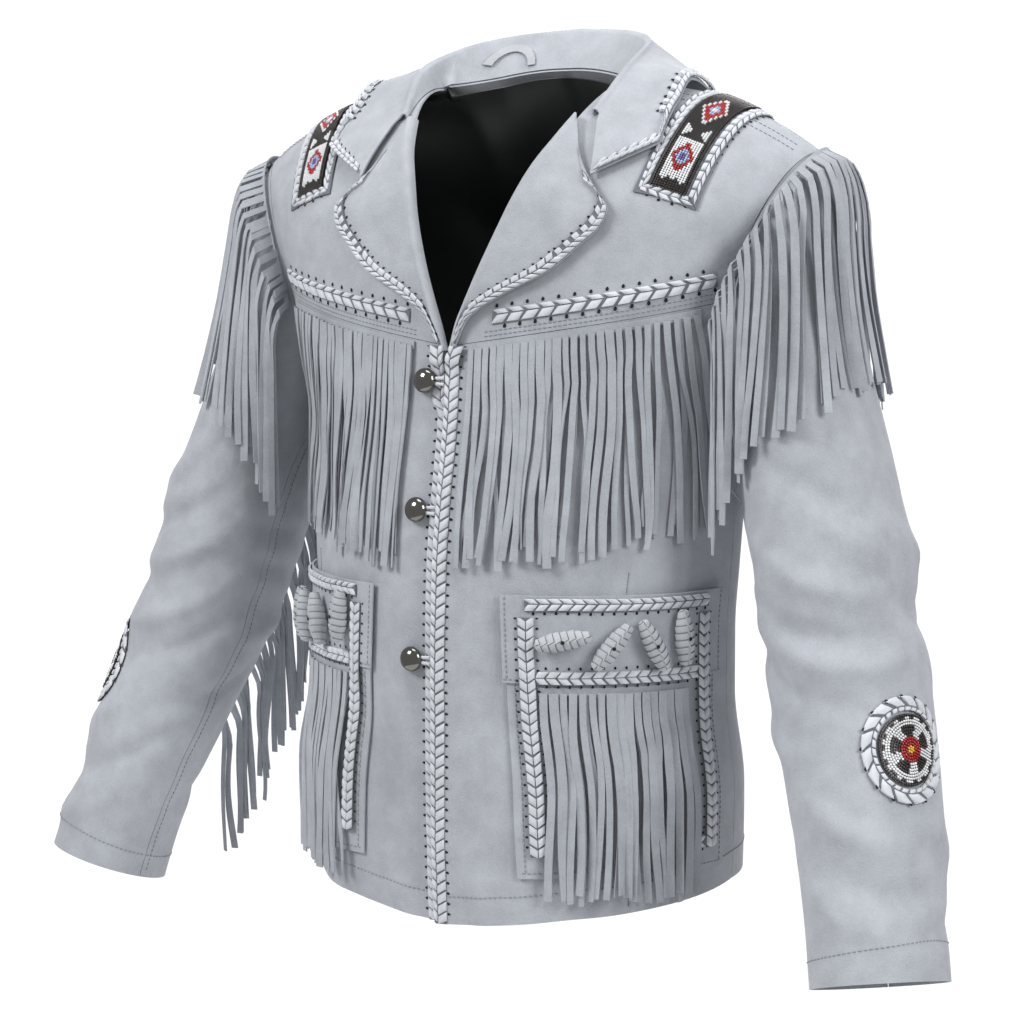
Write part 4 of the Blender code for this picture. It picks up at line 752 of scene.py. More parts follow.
def back_half():
    """The back from its side seam and armhole to its middle: rows go up, columns go inward."""
    outer = np.concatenate([side_heights(HEM_SIDE), armhole_z(ARM_ANGLES[1:])])[:, None]
    rise = np.clip(np.arange(len(outer)) - SIDE_STEPS, 0, None)[:, None] / ARM_STEPS
    share = np.linspace(0.0, 1.0, FRONT_STEPS + NECK_STEPS + 1)[None, :]
    level = outer + (HEM_BACK - HEM_SIDE) * share * smooth((-0.3 - outer) / 0.3)
    outer_x = np.where(outer > ARMPIT_Z + 1e-6, armhole_x(outer), trunk("half_width", outer))
    outer_angle = np.arcsin(np.clip(outer_x / trunk("half_width", outer), 0, 1))
    around = trunk("half_width", level) * np.sin(outer_angle * (1 - share))
    seam = np.linspace(SHOULDER_X, NECK_HALF, FRONT_STEPS + 1)
    neck = NECK_HALF * np.cos(np.radians(np.linspace(0, 90, NECK_STEPS + 1)))[1:]
    top_x = np.concatenate([seam, neck])[None, :]
    top_z = np.concatenate([ridge(seam), back_neck_z(neck)])[None, :]
    x = around + (top_x * outer_x / SHOULDER_X - around) * rise**2
    z = level + (top_z - float(ridge(SHOULDER_X))) * rise**1.5
    return trunk_at(x, z, 1)


def falling(start, heading, length, drop, gap):
    """Where each strand lies that leaves its seam along heading and then falls over the sleeve."""
    steps = 48
    here, reach = start.copy(), (length / steps)[:, None]
    track = [here]
    for step in range(steps):
        turn = smooth((step + 1) / (steps * 0.28))
        aim = unit(heading * (1 - turn) + np.array([0, 0, -1.0]) * turn)
        here = over_sleeve(here + aim * reach, gap)
        track.append(here)
    picked = [track[int(round(share * steps))] for share in drop]
    return np.stack(picked, axis=1)


# Pieces

random = np.random.default_rng(7)


def add_object(name, data):
    """A new object in the scene."""
    made = bpy.data.objects.new(name, data)
    bpy.context.scene.collection.objects.link(made)
    return made


class Bag:
    """The mesh of one piece, gathered part by part. Each part has a kind, the number of its look."""

    def __init__(self):
        self.points, self.faces, self.kinds, self.count = [], [], [], 0

    def add(self, points, faces, kind=0):
        points = np.asarray(points, float).reshape(-1, 3)
        faces = np.asarray(faces, int)
        self.points.append(points)
        self.faces.append(faces + self.count)
        self.kinds.append(np.full(len(faces), kind))
        self.count += len(points)

    def many(self, points, faces, kind=0):
        """Copies of one small form: points is (copies, corners, 3), faces one copy's."""
        copies, corners = points.shape[:2]
        shifted = np.asarray(faces)[None] + (np.arange(copies) * corners)[:, None, None]
        self.add(points, shifted.reshape(-1, shifted.shape[-1]), kind)

    def wall(self, outer, inner, kind=0):
        """A closed wall between two grids of points."""
        rows, columns = outer.shape[:2]
        spot = np.arange(rows * columns).reshape(rows, columns)
        under = spot + rows * columns
        rims = [(under[0], spot[0]), (spot[-1], under[-1])]
        rims += [(spot[:, 0], under[:, 0]), (under[:, -1], spot[:, -1])]
        faces = [quads(spot), quads(under)[:, ::-1], *(quads(np.stack(rim)) for rim in rims)]
        faces = np.concatenate(faces)
        first = np.concatenate([outer.reshape(-1, 3), inner.reshape(-1, 3)])
        corner = first[quads(spot)]
        facing = np.cross(corner[:, 1] - corner[:, 0], corner[:, 3] - corner[:, 0])
        out = first[quads(spot)[:, 0]] - first[quads(under)[:, 0]]
        if np.sum(facing * out) < 0:
            faces = faces[:, ::-1]
        self.add(first, faces, kind)

    def make(self, name, slot, looks, stands_for=None, sharp=55):
        """The finished piece, mirrored when the right-hand side is being made. stands_for is the solid that
        it replaces."""
        points = np.concatenate(self.points)
        faces = [face for part in self.faces for face in part.tolist()]
        if hand["now"] < 0:
            points = mirrored(points)
            faces = [face[::-1] for face in faces]
        mesh = bpy.data.meshes.new(name)
        mesh.from_pydata(points.tolist(), [], faces)
        for word in looks:
            mesh.materials.append(LOOKS[word])
        mesh.polygons.foreach_set("material_index", np.concatenate(self.kinds))
        mesh.shade_smooth()
        mesh.set_sharp_from_angle(angle=math.radians(sharp))
        made = add_object(name, mesh)
        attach(made, "root")
        if stands_for:
            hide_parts(stands_for)
        return made


def tube_faces(rings, corners):
    """The faces of a tube whose points stand in rings."""
    spot = np.arange(rings * corners).reshape(rings, corners)
    return quads(np.concatenate([spot, spot[:, :1]], axis=1))


def quads(spot):
    """The faces of a grid of point numbers."""
    a, b, c, d = spot[:-1, :-1], spot[:-1, 1:], spot[1:, 1:], spot[1:, :-1]
    return np.stack([a, b, c, d], axis=-1).reshape(-1, 4)


def finer(grid):
    """A smooth grid through the points of a coarse one, with a column more between each two."""
    p = np.moveaxis(grid, 1, 0)
    p = np.concatenate([2 * p[:1] - p[1:2], p, 2 * p[-1:] - p[-2:-1]])
    at = np.linspace(0, len(p) - 3, (len(p) - 3) * 2 + 1)
    i = np.clip(at.astype(int), 0, len(p) - 4)
    t = (at - i)[:, None, None]
    a, b, c, d = p[i], p[i + 1], p[i + 2], p[i + 3]
    square = 2 * a - 5 * b + 4 * c - d
    cube = 3 * b - a - 3 * c + d
    return np.moveaxis(0.5 * (2 * b + (c - a) * t + square * t**2 + cube * t**3), 0, 1)


def panel(bag, grid, thickness, side, depth=0.0, **edges):
    """A piece of the trunk, in front (side -1) or behind (side 1), at a depth under its outer face."""
    out = trunk_facing(grid, side)
    outer = trimmed(grid - out * depth, **edges)
    bag.wall(outer, trimmed(grid - out * (depth + thickness), **edges))
    return outer


def cut_piece(bag, name, sharp=55, leather="suede"):
    """Makes a cut piece of suede or lining, in place of its solid."""
    solid = name.replace("flap", "pocket_flap")
    bag.make(f"cloth_{name}", leather, (leather,), solid, sharp)


def cloth(name, grid, out, sharp=55):
    """A cut piece of suede under a grid of its outer face."""
    bag = Bag()
    bag.wall(grid, grid - out * SUEDE)
    cut_piece(bag, name, sharp)


# Strips: everything that is sewn along a line lies on one of these

BASE_SINK, BASE_ROUNDING, BASE_T = -0.0006, 0.0003, 0.0009


class Band:
    """A strip of the surface between two rails. at() turns a place along it, a place across it from the
    first rail, and a height over it, all in metres, into points. Its holes lie at the height drop."""

    def __init__(self, first, second, out, drop):
        self.drop = drop
        self.first, self.across, self.out = first, unit(second - first), unit(out)
        self.width = np.linalg.norm(second - first, axis=-1)
        middle = (first + second) / 2
        step = np.linalg.norm(np.diff(middle, axis=0), axis=-1)
        self.s = np.concatenate([[0.0], np.cumsum(step)])
        self.length = self.s[-1]

    def read(self, values, s):
        if values.ndim == 1:
            return np.interp(s, self.s, values)
        return np.stack([np.interp(s, self.s, values[:, axis]) for axis in range(3)], axis=-1)

    def at(self, s, t, h):
        s, t, h = np.broadcast_arrays(np.asarray(s, float), np.asarray(t, float), np.asarray(h, float))
        across, out = self.read(self.across, s), self.read(self.out, s)
        return self.read(self.first, s) + across * t[..., None] + out * h[..., None]

    def base(self, bag, sides=(0.06, 0.78)):
        """The strip's leather, a little under the plaits and narrower than they are, painted grey as that
        leather in the plaits' shade.
        """
        share = np.linspace(*sides, 4)[None, :]
        s = np.linspace(0.0, self.length, max(6, int(self.length / 0.004)))[:, None]
        t = share * self.read(self.width, s[:, 0])[:, None]
        top = BASE_SINK - BASE_ROUNDING * (2 * share - 1) ** 2
        bag.wall(self.at(s, t, top), self.at(s, t, BASE_SINK - BASE_T), 1)


def spaced(length, pitch):
    """Places along a length, evenly spaced and close to the pitch."""
    count = max(1, int(length / pitch))
    return (np.arange(count) + 0.5) * length / count


PLAIT_SHARES = np.array([-1.0, -0.80, 0.0, 0.80, 1.0])
PLAIT_ROUND = np.array([0.0, 0.80, 1.0, 0.80, 0.0])
PLAIT_RISE = 0.0009


def plaits(bag, band, s, low, high, width, slant, sink=0.0011, taper=0.0):
    """Flat plaits of lace across a strip from low to high, leaning along it by slant."""
    s, low, high, slant = np.broadcast_arrays(*(np.asarray(v, float) for v in (s, low, high, slant)))
    count = len(s)
    jitter = random.normal(0, 1, (3, count))
    u = PLAIT_SHARES[None, :, None]
    v = PLAIT_SHARES[None, None, :]
    half = width / 2 * (1 + 0.05 * jitter[0])[:, None, None] * (1 - taper * (v + 1) / 2)
    lean = (slant * (1 + 0.06 * jitter[1]))[:, None, None] / 2
    at = s[:, None, None] + u * half + v * lean
    reach = (high - low)[:, None, None] / 2
    over = (high + low)[:, None, None] / 2 + v * reach
    rise = PLAIT_ROUND[:, None] * PLAIT_ROUND[None, :]
    up = (PLAIT_RISE + sink) * rise[None] * (1 + 0.10 * jitter[2])[:, None, None] - sink
    points = band.at(at, over, up)
    bag.many(points.reshape(count, 25, 3), quads(np.arange(25).reshape(5, 5)))


def holes(bag, band, s, t, size, stretch, lean=0.0):
    """Punched holes, a little drop-shaped, in the cloth that a strip lies on: flat discs painted near black
    as the shade inside them.
    """
    s, t = np.broadcast_arrays(np.asarray(s, float), np.asarray(t, float))
    turn = np.arange(10) * math.tau / 10
    drop = 1 + 0.25 * np.cos(turn)
    side = size * np.sin(turn)
    up = size * stretch * np.cos(turn) * drop
    at = s[:, None] + side * math.cos(lean) + up * math.sin(lean)
    over = t[:, None] + up * math.cos(lean) - side * math.sin(lean)
    rim = band.at(at, over, band.drop)
    middle = band.at(s, t, band.drop)[:, None]
    faces = np.array([[0, 1 + k, 1 + (k + 1) % 10] for k in range(10)])
    bag.many(np.concatenate([middle, rim], axis=1), faces, 2)


# The two-row lacings: their pitch, their rows of plaits and their rows of holes. A row of plaits has its
# shift along the strip, its two edges, the plaits' width and their slant. A row of holes has its shift, its
# place across the strip, the holes' size and their stretch.
HOLE_LIFT = 0.0004
LACINGS = {
    "front": (
        0.0082,
        ((0.0, 0.0046, 0.0124, 0.0074, 0.0048), (0.002, 0.0004, 0.0043, 0.0072, -0.0040)),
        ((0.0042, 0.0138, 0.0011, 1.3),),
    ),
    "yoke": (
        0.0118,
        ((0.0, 0.0010, 0.0076, 0.0106, 0.0050), (0.0010, 0.0080, 0.0118, 0.0100, -0.0052)),
        ((0.0040, -0.0018, 0.0014, 1.25), (-0.0030, 0.0142, 0.0013, 1.2)),
    ),
    "flap": (
        0.0086,
        ((0.0, 0.0012, 0.0064, 0.0078, 0.0046), (0.001, 0.0067, 0.0105, 0.0078, -0.0044)),
        ((0.002, -0.0012, 0.0011, 1.2),),
    ),
    "beads": (
        0.0082,
        ((0.0, 0.0006, 0.0052, 0.0074, 0.0038), (0.001, 0.0054, 0.0092, 0.0070, -0.0038)),
        ((0.0036, 0.0103, 0.0010, 1.2),),
    ),
}


def laced(bag, band, pattern):
    """A strip of lacing in one of the two-row patterns."""
    pitch, plait_rows, hole_rows = LACINGS[pattern]
    band.base(bag)
    s = spaced(band.length, pitch)
    for shift, *row in plait_rows:
        plaits(bag, band, s + shift, *row)
    for shift, *row in hole_rows:
        holes(bag, band, s + shift, *row)


DASH = np.array([
    [-1, -1, -0.4], [1, -1, -0.4], [1, 1, -0.4], [-1, 1, -0.4],
    [-0.7, -0.6, 1], [0.7, -0.6, 1], [0.7, 0.6, 1], [-0.7, 0.6, 1],
])
DASH_FACES = np.array([[4, 5, 6, 7], [0, 1, 5, 4], [1, 2, 6, 5], [2, 3, 7, 6], [3, 0, 4, 7]])
STITCH_PITCH, STITCH_LONG, STITCH_WIDE = 0.0040, 0.0027, 0.0009
STITCH_HIGH, STITCH_LIFT = 0.00035, 0.0002


def stitches(bag, line, out, wide=STITCH_WIDE, pitch=STITCH_PITCH, long=STITCH_LONG, lift=STITCH_LIFT):
    """A row of stitches along a line of points on a surface that faces out."""
    line = line + out * lift
    step = np.linalg.norm(np.diff(line, axis=0), axis=-1)
    s = np.concatenate([[0.0], np.cumsum(step)])
    spots = np.arange(pitch / 2, s[-1], pitch)

    def read_line(values, at):
        return np.stack([np.interp(at, s, values[:, axis]) for axis in range(3)], axis=-1)

    centre = read_line(line, spots)
    along = unit(read_line(line, spots + 0.001) - read_line(line, spots - 0.001))
    up = unit(read_line(out, spots))
    beside = unit(np.cross(up, along))
    size = DASH * np.array([long / 2, wide / 2, STITCH_HIGH])
    points = centre[:, None] + size[None, :, :1] * along[:, None] + size[None, :, 1:2] * beside[:, None]
    bag.many(points + size[None, :, 2:] * up[:, None], DASH_FACES)


def on_trunk(x, z, lift=0.0, side=-1):
    """Points over the trunk's outer face, and its directions there."""
    base = trunk_at(x, z, side)
    out = trunk_facing(base, side)
    return base + out * np.asarray(lift, float)[..., None], out


# Beads

BEAD_RINGS = ((0.92, -0.55), (1.0, 0.0), (0.86, 0.52), (0.45, 0.86))
BEAD_SIDES = 8


def bead_form():
    """One bead as rings of points with a cap, and its faces."""
    turn = np.arange(BEAD_SIDES) * math.tau / BEAD_SIDES
    points = [(size * math.cos(a), size * math.sin(a), up) for size, up in BEAD_RINGS for a in turn]
    points.append((0.0, 0.0, 0.78))
    tip = len(points) - 1
    last = tip - BEAD_SIDES
    cap = [[last + k, last + (k + 1) % BEAD_SIDES, tip] for k in range(BEAD_SIDES)]
    return np.array(points), tube_faces(len(BEAD_RINGS), BEAD_SIDES), np.array(cap)


def beads(bag, centre, along, out, kinds):
    """Beads standing side by side, by their middles. kinds holds the colour of each."""
    form, faces, cap = bead_form()
    along, out = unit(along), unit(out)
    beside = unit(np.cross(out, along))
    count = len(centre)
    size = BEAD_R * (1 + 0.035 * random.normal(0, 1, count))[:, None, None]
    tip = 0.10 * random.normal(0, 1, (count, 3))
    out = unit(out + tip)
    shape = form[None] * size
    points = centre[:, None] + shape[..., :1] * along[:, None] + shape[..., 1:2] * beside[:, None]
    points = points + shape[..., 2:] * out[:, None]
    for kind in np.unique(kinds):
        chosen = points[kinds == kind]
        start = bag.count
        bag.many(chosen, faces, int(kind))
        shift = (np.arange(len(chosen)) * len(form))[:, None, None]
        caps = (cap[None] + shift).reshape(-1, 3)
        bag.faces.append(caps + start)
        bag.kinds.append(np.full(len(caps), int(kind)))


# Strands

STRAND_LOOK_T = 0.0011


def strands(bag, paths, sides, outs, width):
    """Cut strands of leather along paths, (strands, steps, 3)."""
    sides = unit(sides)
    outs = unit(outs - np.sum(outs * sides, axis=-1, keepdims=True) * sides)
    half = (width / 2)[:, None, None]
    corners = ((-1, -1), (1, -1), (1, 1), (-1, 1))
    points = np.stack([paths + a * half * sides + b * STRAND_LOOK_T / 2 * outs for a, b in corners], axis=2)
    count, steps = paths.shape[:2]
    end = np.arange(4) + 4 * (steps - 1)
    faces = [tube_faces(steps, 4), [[3, 2, 1, 0]], end[None]]
    bag.many(points.reshape(count, -1, 3), np.concatenate(faces))


def twist(sides, outs, size, most):
    """Turns the strands' flat sides about their length, unevenly and by most degrees at most."""
    bend = np.radians(np.clip(fall_noise(*sides.shape[:2], size), -most, most))[..., None]
    return sides * np.cos(bend) + outs * np.sin(bend), outs * np.cos(bend) - sides * np.sin(bend)


def uneven(width, size, count):
    """Widths of strands that vary a little about one width."""
    return width * (1 + size * np.clip(random.normal(0, 1, count), -1.6, 1.8))


def fall_noise(count, steps, size):
    """How far each strand strays from its line, more towards its tip."""
    share = np.linspace(0, 1, steps)[None, :]
    stray = random.normal(0, size, (count, 1)) * share**1.3
    curl = random.normal(0, size * 0.55, (count, 1)) * np.sin(
        share * random.uniform(3.0, 7.5, (count, 1)) + random.uniform(0, 6.28, (count, 1))
    )
    bend = random.normal(0, size * 0.5, (count, 1)) * np.abs(share - random.uniform(0.3, 0.8, (count, 1)))
    return stray + curl * smooth(share * 3) + bend * smooth(share * 2)


# Looks

LOOKS = {}


def linear(value):
    """A colour value from 0 to 255 as light."""
    value = value / 255
    return value / 12.92 if value <= 0.04045 else ((value + 0.055) / 1.055) ** 2.4


def look(word, colour, rough, patch=0.05, bump=0.0, fine=700.0, metal=0.0, sheen=0.0, coat=0.0):
    """A material whose colour and nap vary at three scales."""
    made = bpy.data.materials.new(word)
    made.use_nodes = True
    tree = made.node_tree
    shader = tree.nodes["Principled BSDF"]
    constants = {"Roughness": rough, "Metallic": metal, "Coat Weight": coat}
    constants |= {"Sheen Weight": sheen, "Sheen Roughness": 0.5}
    for socket, value in constants.items():
        shader.inputs[socket].default_value = value
    place = tree.nodes.new("ShaderNodeTexCoord")

    def noise(scale, detail, rough_detail=0.55):
        node = tree.nodes.new("ShaderNodeTexNoise")
        node.inputs["Scale"].default_value = scale
        node.inputs["Detail"].default_value = detail
        node.inputs["Roughness"].default_value = rough_detail
        tree.links.new(place.outputs["Object"], node.inputs["Vector"])
        return node.outputs[0]

    def maths(kind, a, b):
        node = tree.nodes.new("ShaderNodeMath")
        node.operation = kind
        for number, value in enumerate((a, b)):
            if isinstance(value, float):
                node.inputs[number].default_value = value
            else:
                tree.links.new(value, node.inputs[number])
        return node.outputs[0]

    broad, middle, close = noise(7.0, 4.0), noise(60.0, 3.0), noise(fine, 2.0)
    total = maths("ADD", *(maths("MULTIPLY", *pair) for pair in ((broad, 0.45), (middle, 0.30))))
    total = maths("ADD", total, maths("MULTIPLY", close, 0.25))
    spread = tree.nodes.new("ShaderNodeMapRange")
    spread.inputs["From Min"].default_value = 0.38
    spread.inputs["From Max"].default_value = 0.62
    tree.links.new(total, spread.inputs["Value"])
    mix = tree.nodes.new("ShaderNodeMix")
    mix.data_type = "RGBA"
    base = np.array([linear(value) for value in colour])
    mix.inputs[6].default_value = (*np.clip(base * (1 - patch), 0, 1), 1.0)
    mix.inputs[7].default_value = (*np.clip(base * (1 + patch), 0, 1), 1.0)
    tree.links.new(spread.outputs["Result"], mix.inputs[0])
    tree.links.new(mix.outputs[2], shader.inputs["Base Color"])
    if bump:
        relief = tree.nodes.new("ShaderNodeBump")
        relief.inputs["Strength"].default_value = 0.55
        relief.inputs["Distance"].default_value = bump
        tree.links.new(maths("ADD", close, maths("MULTIPLY", middle, 1.4)), relief.inputs["Height"])
        tree.links.new(relief.outputs["Normal"], shader.inputs["Normal"])
    LOOKS[word] = made


def make_looks():
    """All materials of the jacket."""
    look("suede", (165, 169, 176), 0.92, 0.16, 0.0007, 900.0, sheen=0.22)
    look("fringe", (160, 164, 171), 0.92, 0.16, 0.0006, 700.0, sheen=0.20)
    look("lace", (198, 201, 207), 0.66, 0.09, 0.0002, 500.0, sheen=0.05)
    # gap: painted shade, the grey of leather in shadow under the plaits and in the grooves of the rolled
    # toggles
    look("gap", (104, 108, 114), 0.85, 0.10, 0.0002, 500.0)
    # hole: painted shade, near black, for the flat discs that stand for punched holes and the toggles' eyes
    look("hole", (22, 24, 27), 0.9, 0.10)
    look("stitch", (132, 137, 146), 0.8, 0.08)
    look("lining", (17, 20, 22), 0.42, 0.12, 0.0001, 1500.0, sheen=0.10)
    look("metal", (118, 117, 113), 0.12, 0.05, metal=1.0)
    look("toggle", (174, 177, 182), 0.85, 0.12, 0.0005, 800.0, sheen=0.18)
    for word, colour in BEAD_COLOURS.items():
        look(f"bead_{word}", colour, 0.22, 0.08, coat=0.35)


BEAD_COLOURS = {
    "dark": (38, 30, 30),
    "white": (226, 228, 230),
    "red": (168, 30, 34),
    "blue": (158, 182, 214),
    "purple": (104, 84, 140),
    "yellow": (226, 180, 52),
}
BEAD_LOOKS = tuple(f"bead_{word}" for word in BEAD_COLOURS)
DARK, WHITE, RED, BLUE, PURPLE, YELLOW = range(6)
RIM_PITCH, TAB_PITCH = 0.0060, 0.0085
# The lacing's looks: the lace, the painted shade under its plaits (gap) and the painted shade inside its
# holes (hole)
LACE_LOOKS = ("lace", "gap", "hole")


# Fronts, yokes, back and lining

# The row of a panel where its hem is sewn
HEM_ROW = 3
YOKE_SEWING, SHOULDER_SEWING, BACK_SEWING = (0.030, 0.200), (0.098, 0.235), (-0.205, 0.205)
FRONT_SEAM_Z, FRONT_SEAM_TURN = (-0.624, -0.365), 50.0


def make_front(word, lap):
    """A front and its yoke. Their sewing is left in a bag that the sleeve's sewing joins."""
    lower, yoke = lower_front(lap), front_yoke(lap)
    for name, grid, edges in (
        ("front", lower, {"top": SEAM, "end": SEAM}),
        ("yoke", yoke, {"bottom": SEAM, "top": SEAM, "end": SEAM}),
    ):
        bag = Bag()
        panel(bag, grid, SUEDE, -1, **edges)
        cut_piece(bag, f"{name}_{word}")
    seams = Bag()
    x = np.linspace(*YOKE_SEWING, 60)
    for rise in (0.0034, 0.0068):
        stitches(seams, *on_trunk(x, yoke_seam_z(x) + rise), wide=0.0007)
    stitches(seams, lower[HEM_ROW], trunk_facing(lower[HEM_ROW], -1))
    z = np.linspace(*FRONT_SEAM_Z, 60)
    x = trunk("half_width", z) * math.sin(math.radians(FRONT_SEAM_TURN))
    stitches(seams, *on_trunk(x, z), wide=0.0008, pitch=0.0026, long=0.0025, lift=0.0001)
    x = np.linspace(*SHOULDER_SEWING, 50)
    for drop in (0.004, 0.008):
        stitches(seams, *on_trunk(x, ridge(x) - drop), wide=0.0006)
    return seams


def make_back():
    """The back with its sewing. Gives the grid of its outer face."""
    half = back_half()
    left, right = (trunk_at(half[..., 0] * turn, half[..., 2], 1) for turn in (1, -1))
    whole = np.concatenate([left, right[:, -2::-1]], axis=1)
    bag = Bag()
    panel(bag, whole, SUEDE, 1, top=SEAM, start=SEAM, end=SEAM)
    cut_piece(bag, "back")
    seams = Bag()
    stitches(seams, whole[HEM_ROW], trunk_facing(whole[HEM_ROW], 1))
    x = np.linspace(*BACK_SEWING, 120)
    for rise in (0.0, 0.0036):
        stitches(seams, *on_trunk(x, -0.150 - 0.020 * np.cos(x * 7.5) + rise, side=1), wide=0.0007)
    seams.make("seams_back", "lace", ("stitch",))
    return whole


def make_linings(back):
    """The linings of the back and the fronts, a little under them and nearer to them at the hem."""
    for name, grid, side in (
        ("back", hemmed(back[::2, ::2], 1), 1),
        ("front_left", lining_front(1), -1),
        ("front_right", lining_front(-1), -1),
    ):
        fade = smooth(1 - np.arange(len(grid)) / LINING_HEM_ROWS)
        depth = LINING_DEPTH + ((LINING_HEM_DEPTH - LINING_DEPTH) * fade)[:, None, None]
        wave = LINING_WAVE * np.sin(np.arange(grid.shape[1]) * 0.55)[None, :, None]
        start = LINING_EASE if name == "back" else 0.0
        bag = Bag()
        panel(bag, grid, LINING, side, depth + wave, top=LINING_EASE, start=start, end=LINING_EASE)
        cut_piece(bag, f"lining_{name}", leather="lining")


def hemmed(grid, side):
    """A lining's grid with its hem drawn up, and without the rows that the hem passes."""
    low = raised(grid[0], LINING_HEM, side)
    high = grid[:, :, 2] > low[None, :, 2] + 0.002
    first = int(np.argmax(high[1:].all(axis=1))) + 1
    return np.concatenate([low[None], grid[first:]])


def lining_front(turn):
    """A front's lining, turn being 1 on the left and -1 on the right."""
    grid = np.concatenate([lower_front(0.0)[:-1], front_yoke(0.0)])[::2, LINING_START::2]
    return hemmed(trunk_at(grid[..., 0] * turn, grid[..., 2], -1), -1)


# Sleeves

# The row where a cuff is sewn, and how many rows ease the cap into the yoke's edge
CUFF_ROW, CAP_ROWS = -5, 12


def make_sleeve(word, seams):
    """The upper and the under piece of a sleeve. Their sewing goes into the front's bag."""
    step = 180 / ARM_STEPS
    panels = (("sleeve_upper", BACK_SEAM - 360, FRONT_SEAM), ("sleeve_under", FRONT_SEAM, BACK_SEAM))
    for name, start, end in panels:
        angles = np.arange(start - step, end + 1.5 * step, step)
        shares = np.linspace(0.0, 1.0, SLEEVE_ROWS)
        grid = sleeve_point(angles[None, :], shares[:, None])
        out = normals(grid, (0.27, -0.02, -0.35))[:, 1:-1]
        grid = trimmed(grid[:, 1:-1], start=SEAM, end=SEAM)
        grid[0] += unit(grid[1] - grid[0]) * 3 * SEAM + np.array([2 * SEAM, 0, 0])
        at = angles[1:-1]
        edge = front_yoke(0.0)[::-1, -1]
        turns = ARM_ANGLES[YOKE_ROW:][::-1]
        yoke = np.stack([np.interp(at, turns, edge[:, axis]) for axis in range(3)], axis=-1)
        near = ((at >= 0) & (at <= 90))[:, None]
        shift = np.where(near, yoke + np.array([SEAM, 0, 0]) - grid[0], 0.0)
        for row in range(CAP_ROWS):
            grid[row] += shift * (1 - row / CAP_ROWS) ** 2
        cloth(f"{name}_{word}", grid, out)
        edge = (slice(4, -1), 2)
        stitches(seams, grid[CUFF_ROW], out[CUFF_ROW])
        stitches(seams, grid[edge], out[edge], wide=0.0007)


# Collar and lapels

# The collar's end is laced from this many columns up, and its lacing is eased over the corner
END_COLUMNS, CORNER_REACH = 22, 6
LACE_TOP_Z = -0.1965
# The share of a lapel's lacing below its tabs
TAB_START = 0.56


def outward(grid, outside):
    """Unit normals of a collar's or lapel's grid, on the side of the point outside near its edge."""
    found = unit(np.cross(np.gradient(grid, axis=0), np.gradient(grid, axis=1)))
    facing = np.sum(found[:, -2] * (np.asarray(outside) - grid[:, -2]))
    return found if facing > 0 else -found


def make_collar():
    """The collar in one piece, and the lacing round its outer edge."""
    grid = finer(collar_grid())
    out = outward(grid, (0.0, 0.9, 0.2))
    cloth("collar", grid, out, sharp=80)
    half, face = grid[:COLLAR_STATIONS], out[:COLLAR_STATIONS]
    first = np.concatenate([half[0, -END_COLUMNS:-1], half[:, -1]])
    inner = np.concatenate([half[3, -END_COLUMNS:-1], half[:, -4]])
    corner = inner[-(COLLAR_STATIONS + CORNER_REACH) : -(COLLAR_STATIONS - CORNER_REACH)]
    ease = np.linspace(0, 1, len(corner))[:, None]
    corner[:] = corner[0] * (1 - ease) + corner[-1] * ease
    reach = unit(inner - first) * LAPEL_LACE_W * 0.9
    up = np.concatenate([face[0, -END_COLUMNS:-1], face[:, -1]])
    lift = (LACE + 4 * REST) * up
    first, second = first + lift, first + reach + lift
    rails = [np.concatenate([row, mirrored(row)[-2::-1]]) for row in (first, second, up)]
    bag = Bag()
    rim_lacing(bag, Band(*rails, HOLE_LIFT - LACE - 4 * REST))
    bag.make("lacing_collar", "lace", LACE_LOOKS, "collar_lacing")


def rim_lacing(bag, band):
    """A braided rim with small tabs set across it, each with a hole at its inner end."""
    band.base(bag, sides=(0.04, 0.42))
    plaits(bag, band, spaced(band.length, RIM_PITCH), 0.0004, 0.0048, 0.0056, 0.0044)
    s = spaced(band.length, TAB_PITCH)
    plaits(bag, band, s, 0.0046, 0.0100, 0.0054, 0.0012, sink=0.0024)
    holes(bag, band, s, 0.0112, 0.0012, 1.2)


def make_lapel(word, lap):
    """A lapel, and the lacing that runs up the front's edge and round the lapel."""
    grid = lapel_grid()
    out = outward(grid, (0.0, -2.0, 0.1))
    cloth(f"lapel_{word}", grid, out, sharp=80)
    bag = Bag()
    front_lacing(bag, lap)
    lapel_lacing(bag)
    bag.make(f"lacing_edge_{word}", "lace", LACE_LOOKS, f"edge_lacing_{word}")


def front_lacing(bag, lap):
    """The lacing up the edge of a front, from its hem to the foot of its lapel."""
    z = np.linspace(HEM_FRONT + LACE_PROUD, LACE_TOP_Z, 140)
    start = neckline_x(z, lap) + (LACE_UNDER if lap > 0 else -LACE_PROUD)
    end = start + EDGE_LACE_W
    if lap > 0:
        start = start + (LACE_BESIDE - start) * smooth((z - LACE_FOOT_LOW) / 0.008 + 0.5)
    rise = LACE_RISE * smooth((z - LACE_FOOT_HIGH) / 0.009)
    first, out = on_trunk(start, z, overlap_shift(start, z, lap) + LACE + REST + rise)
    second, _ = on_trunk(end, z, overlap_shift(end, z, lap) + LACE + REST + rise)
    laced(bag, Band(first, second, out, HOLE_LIFT - LACE - REST), "front")


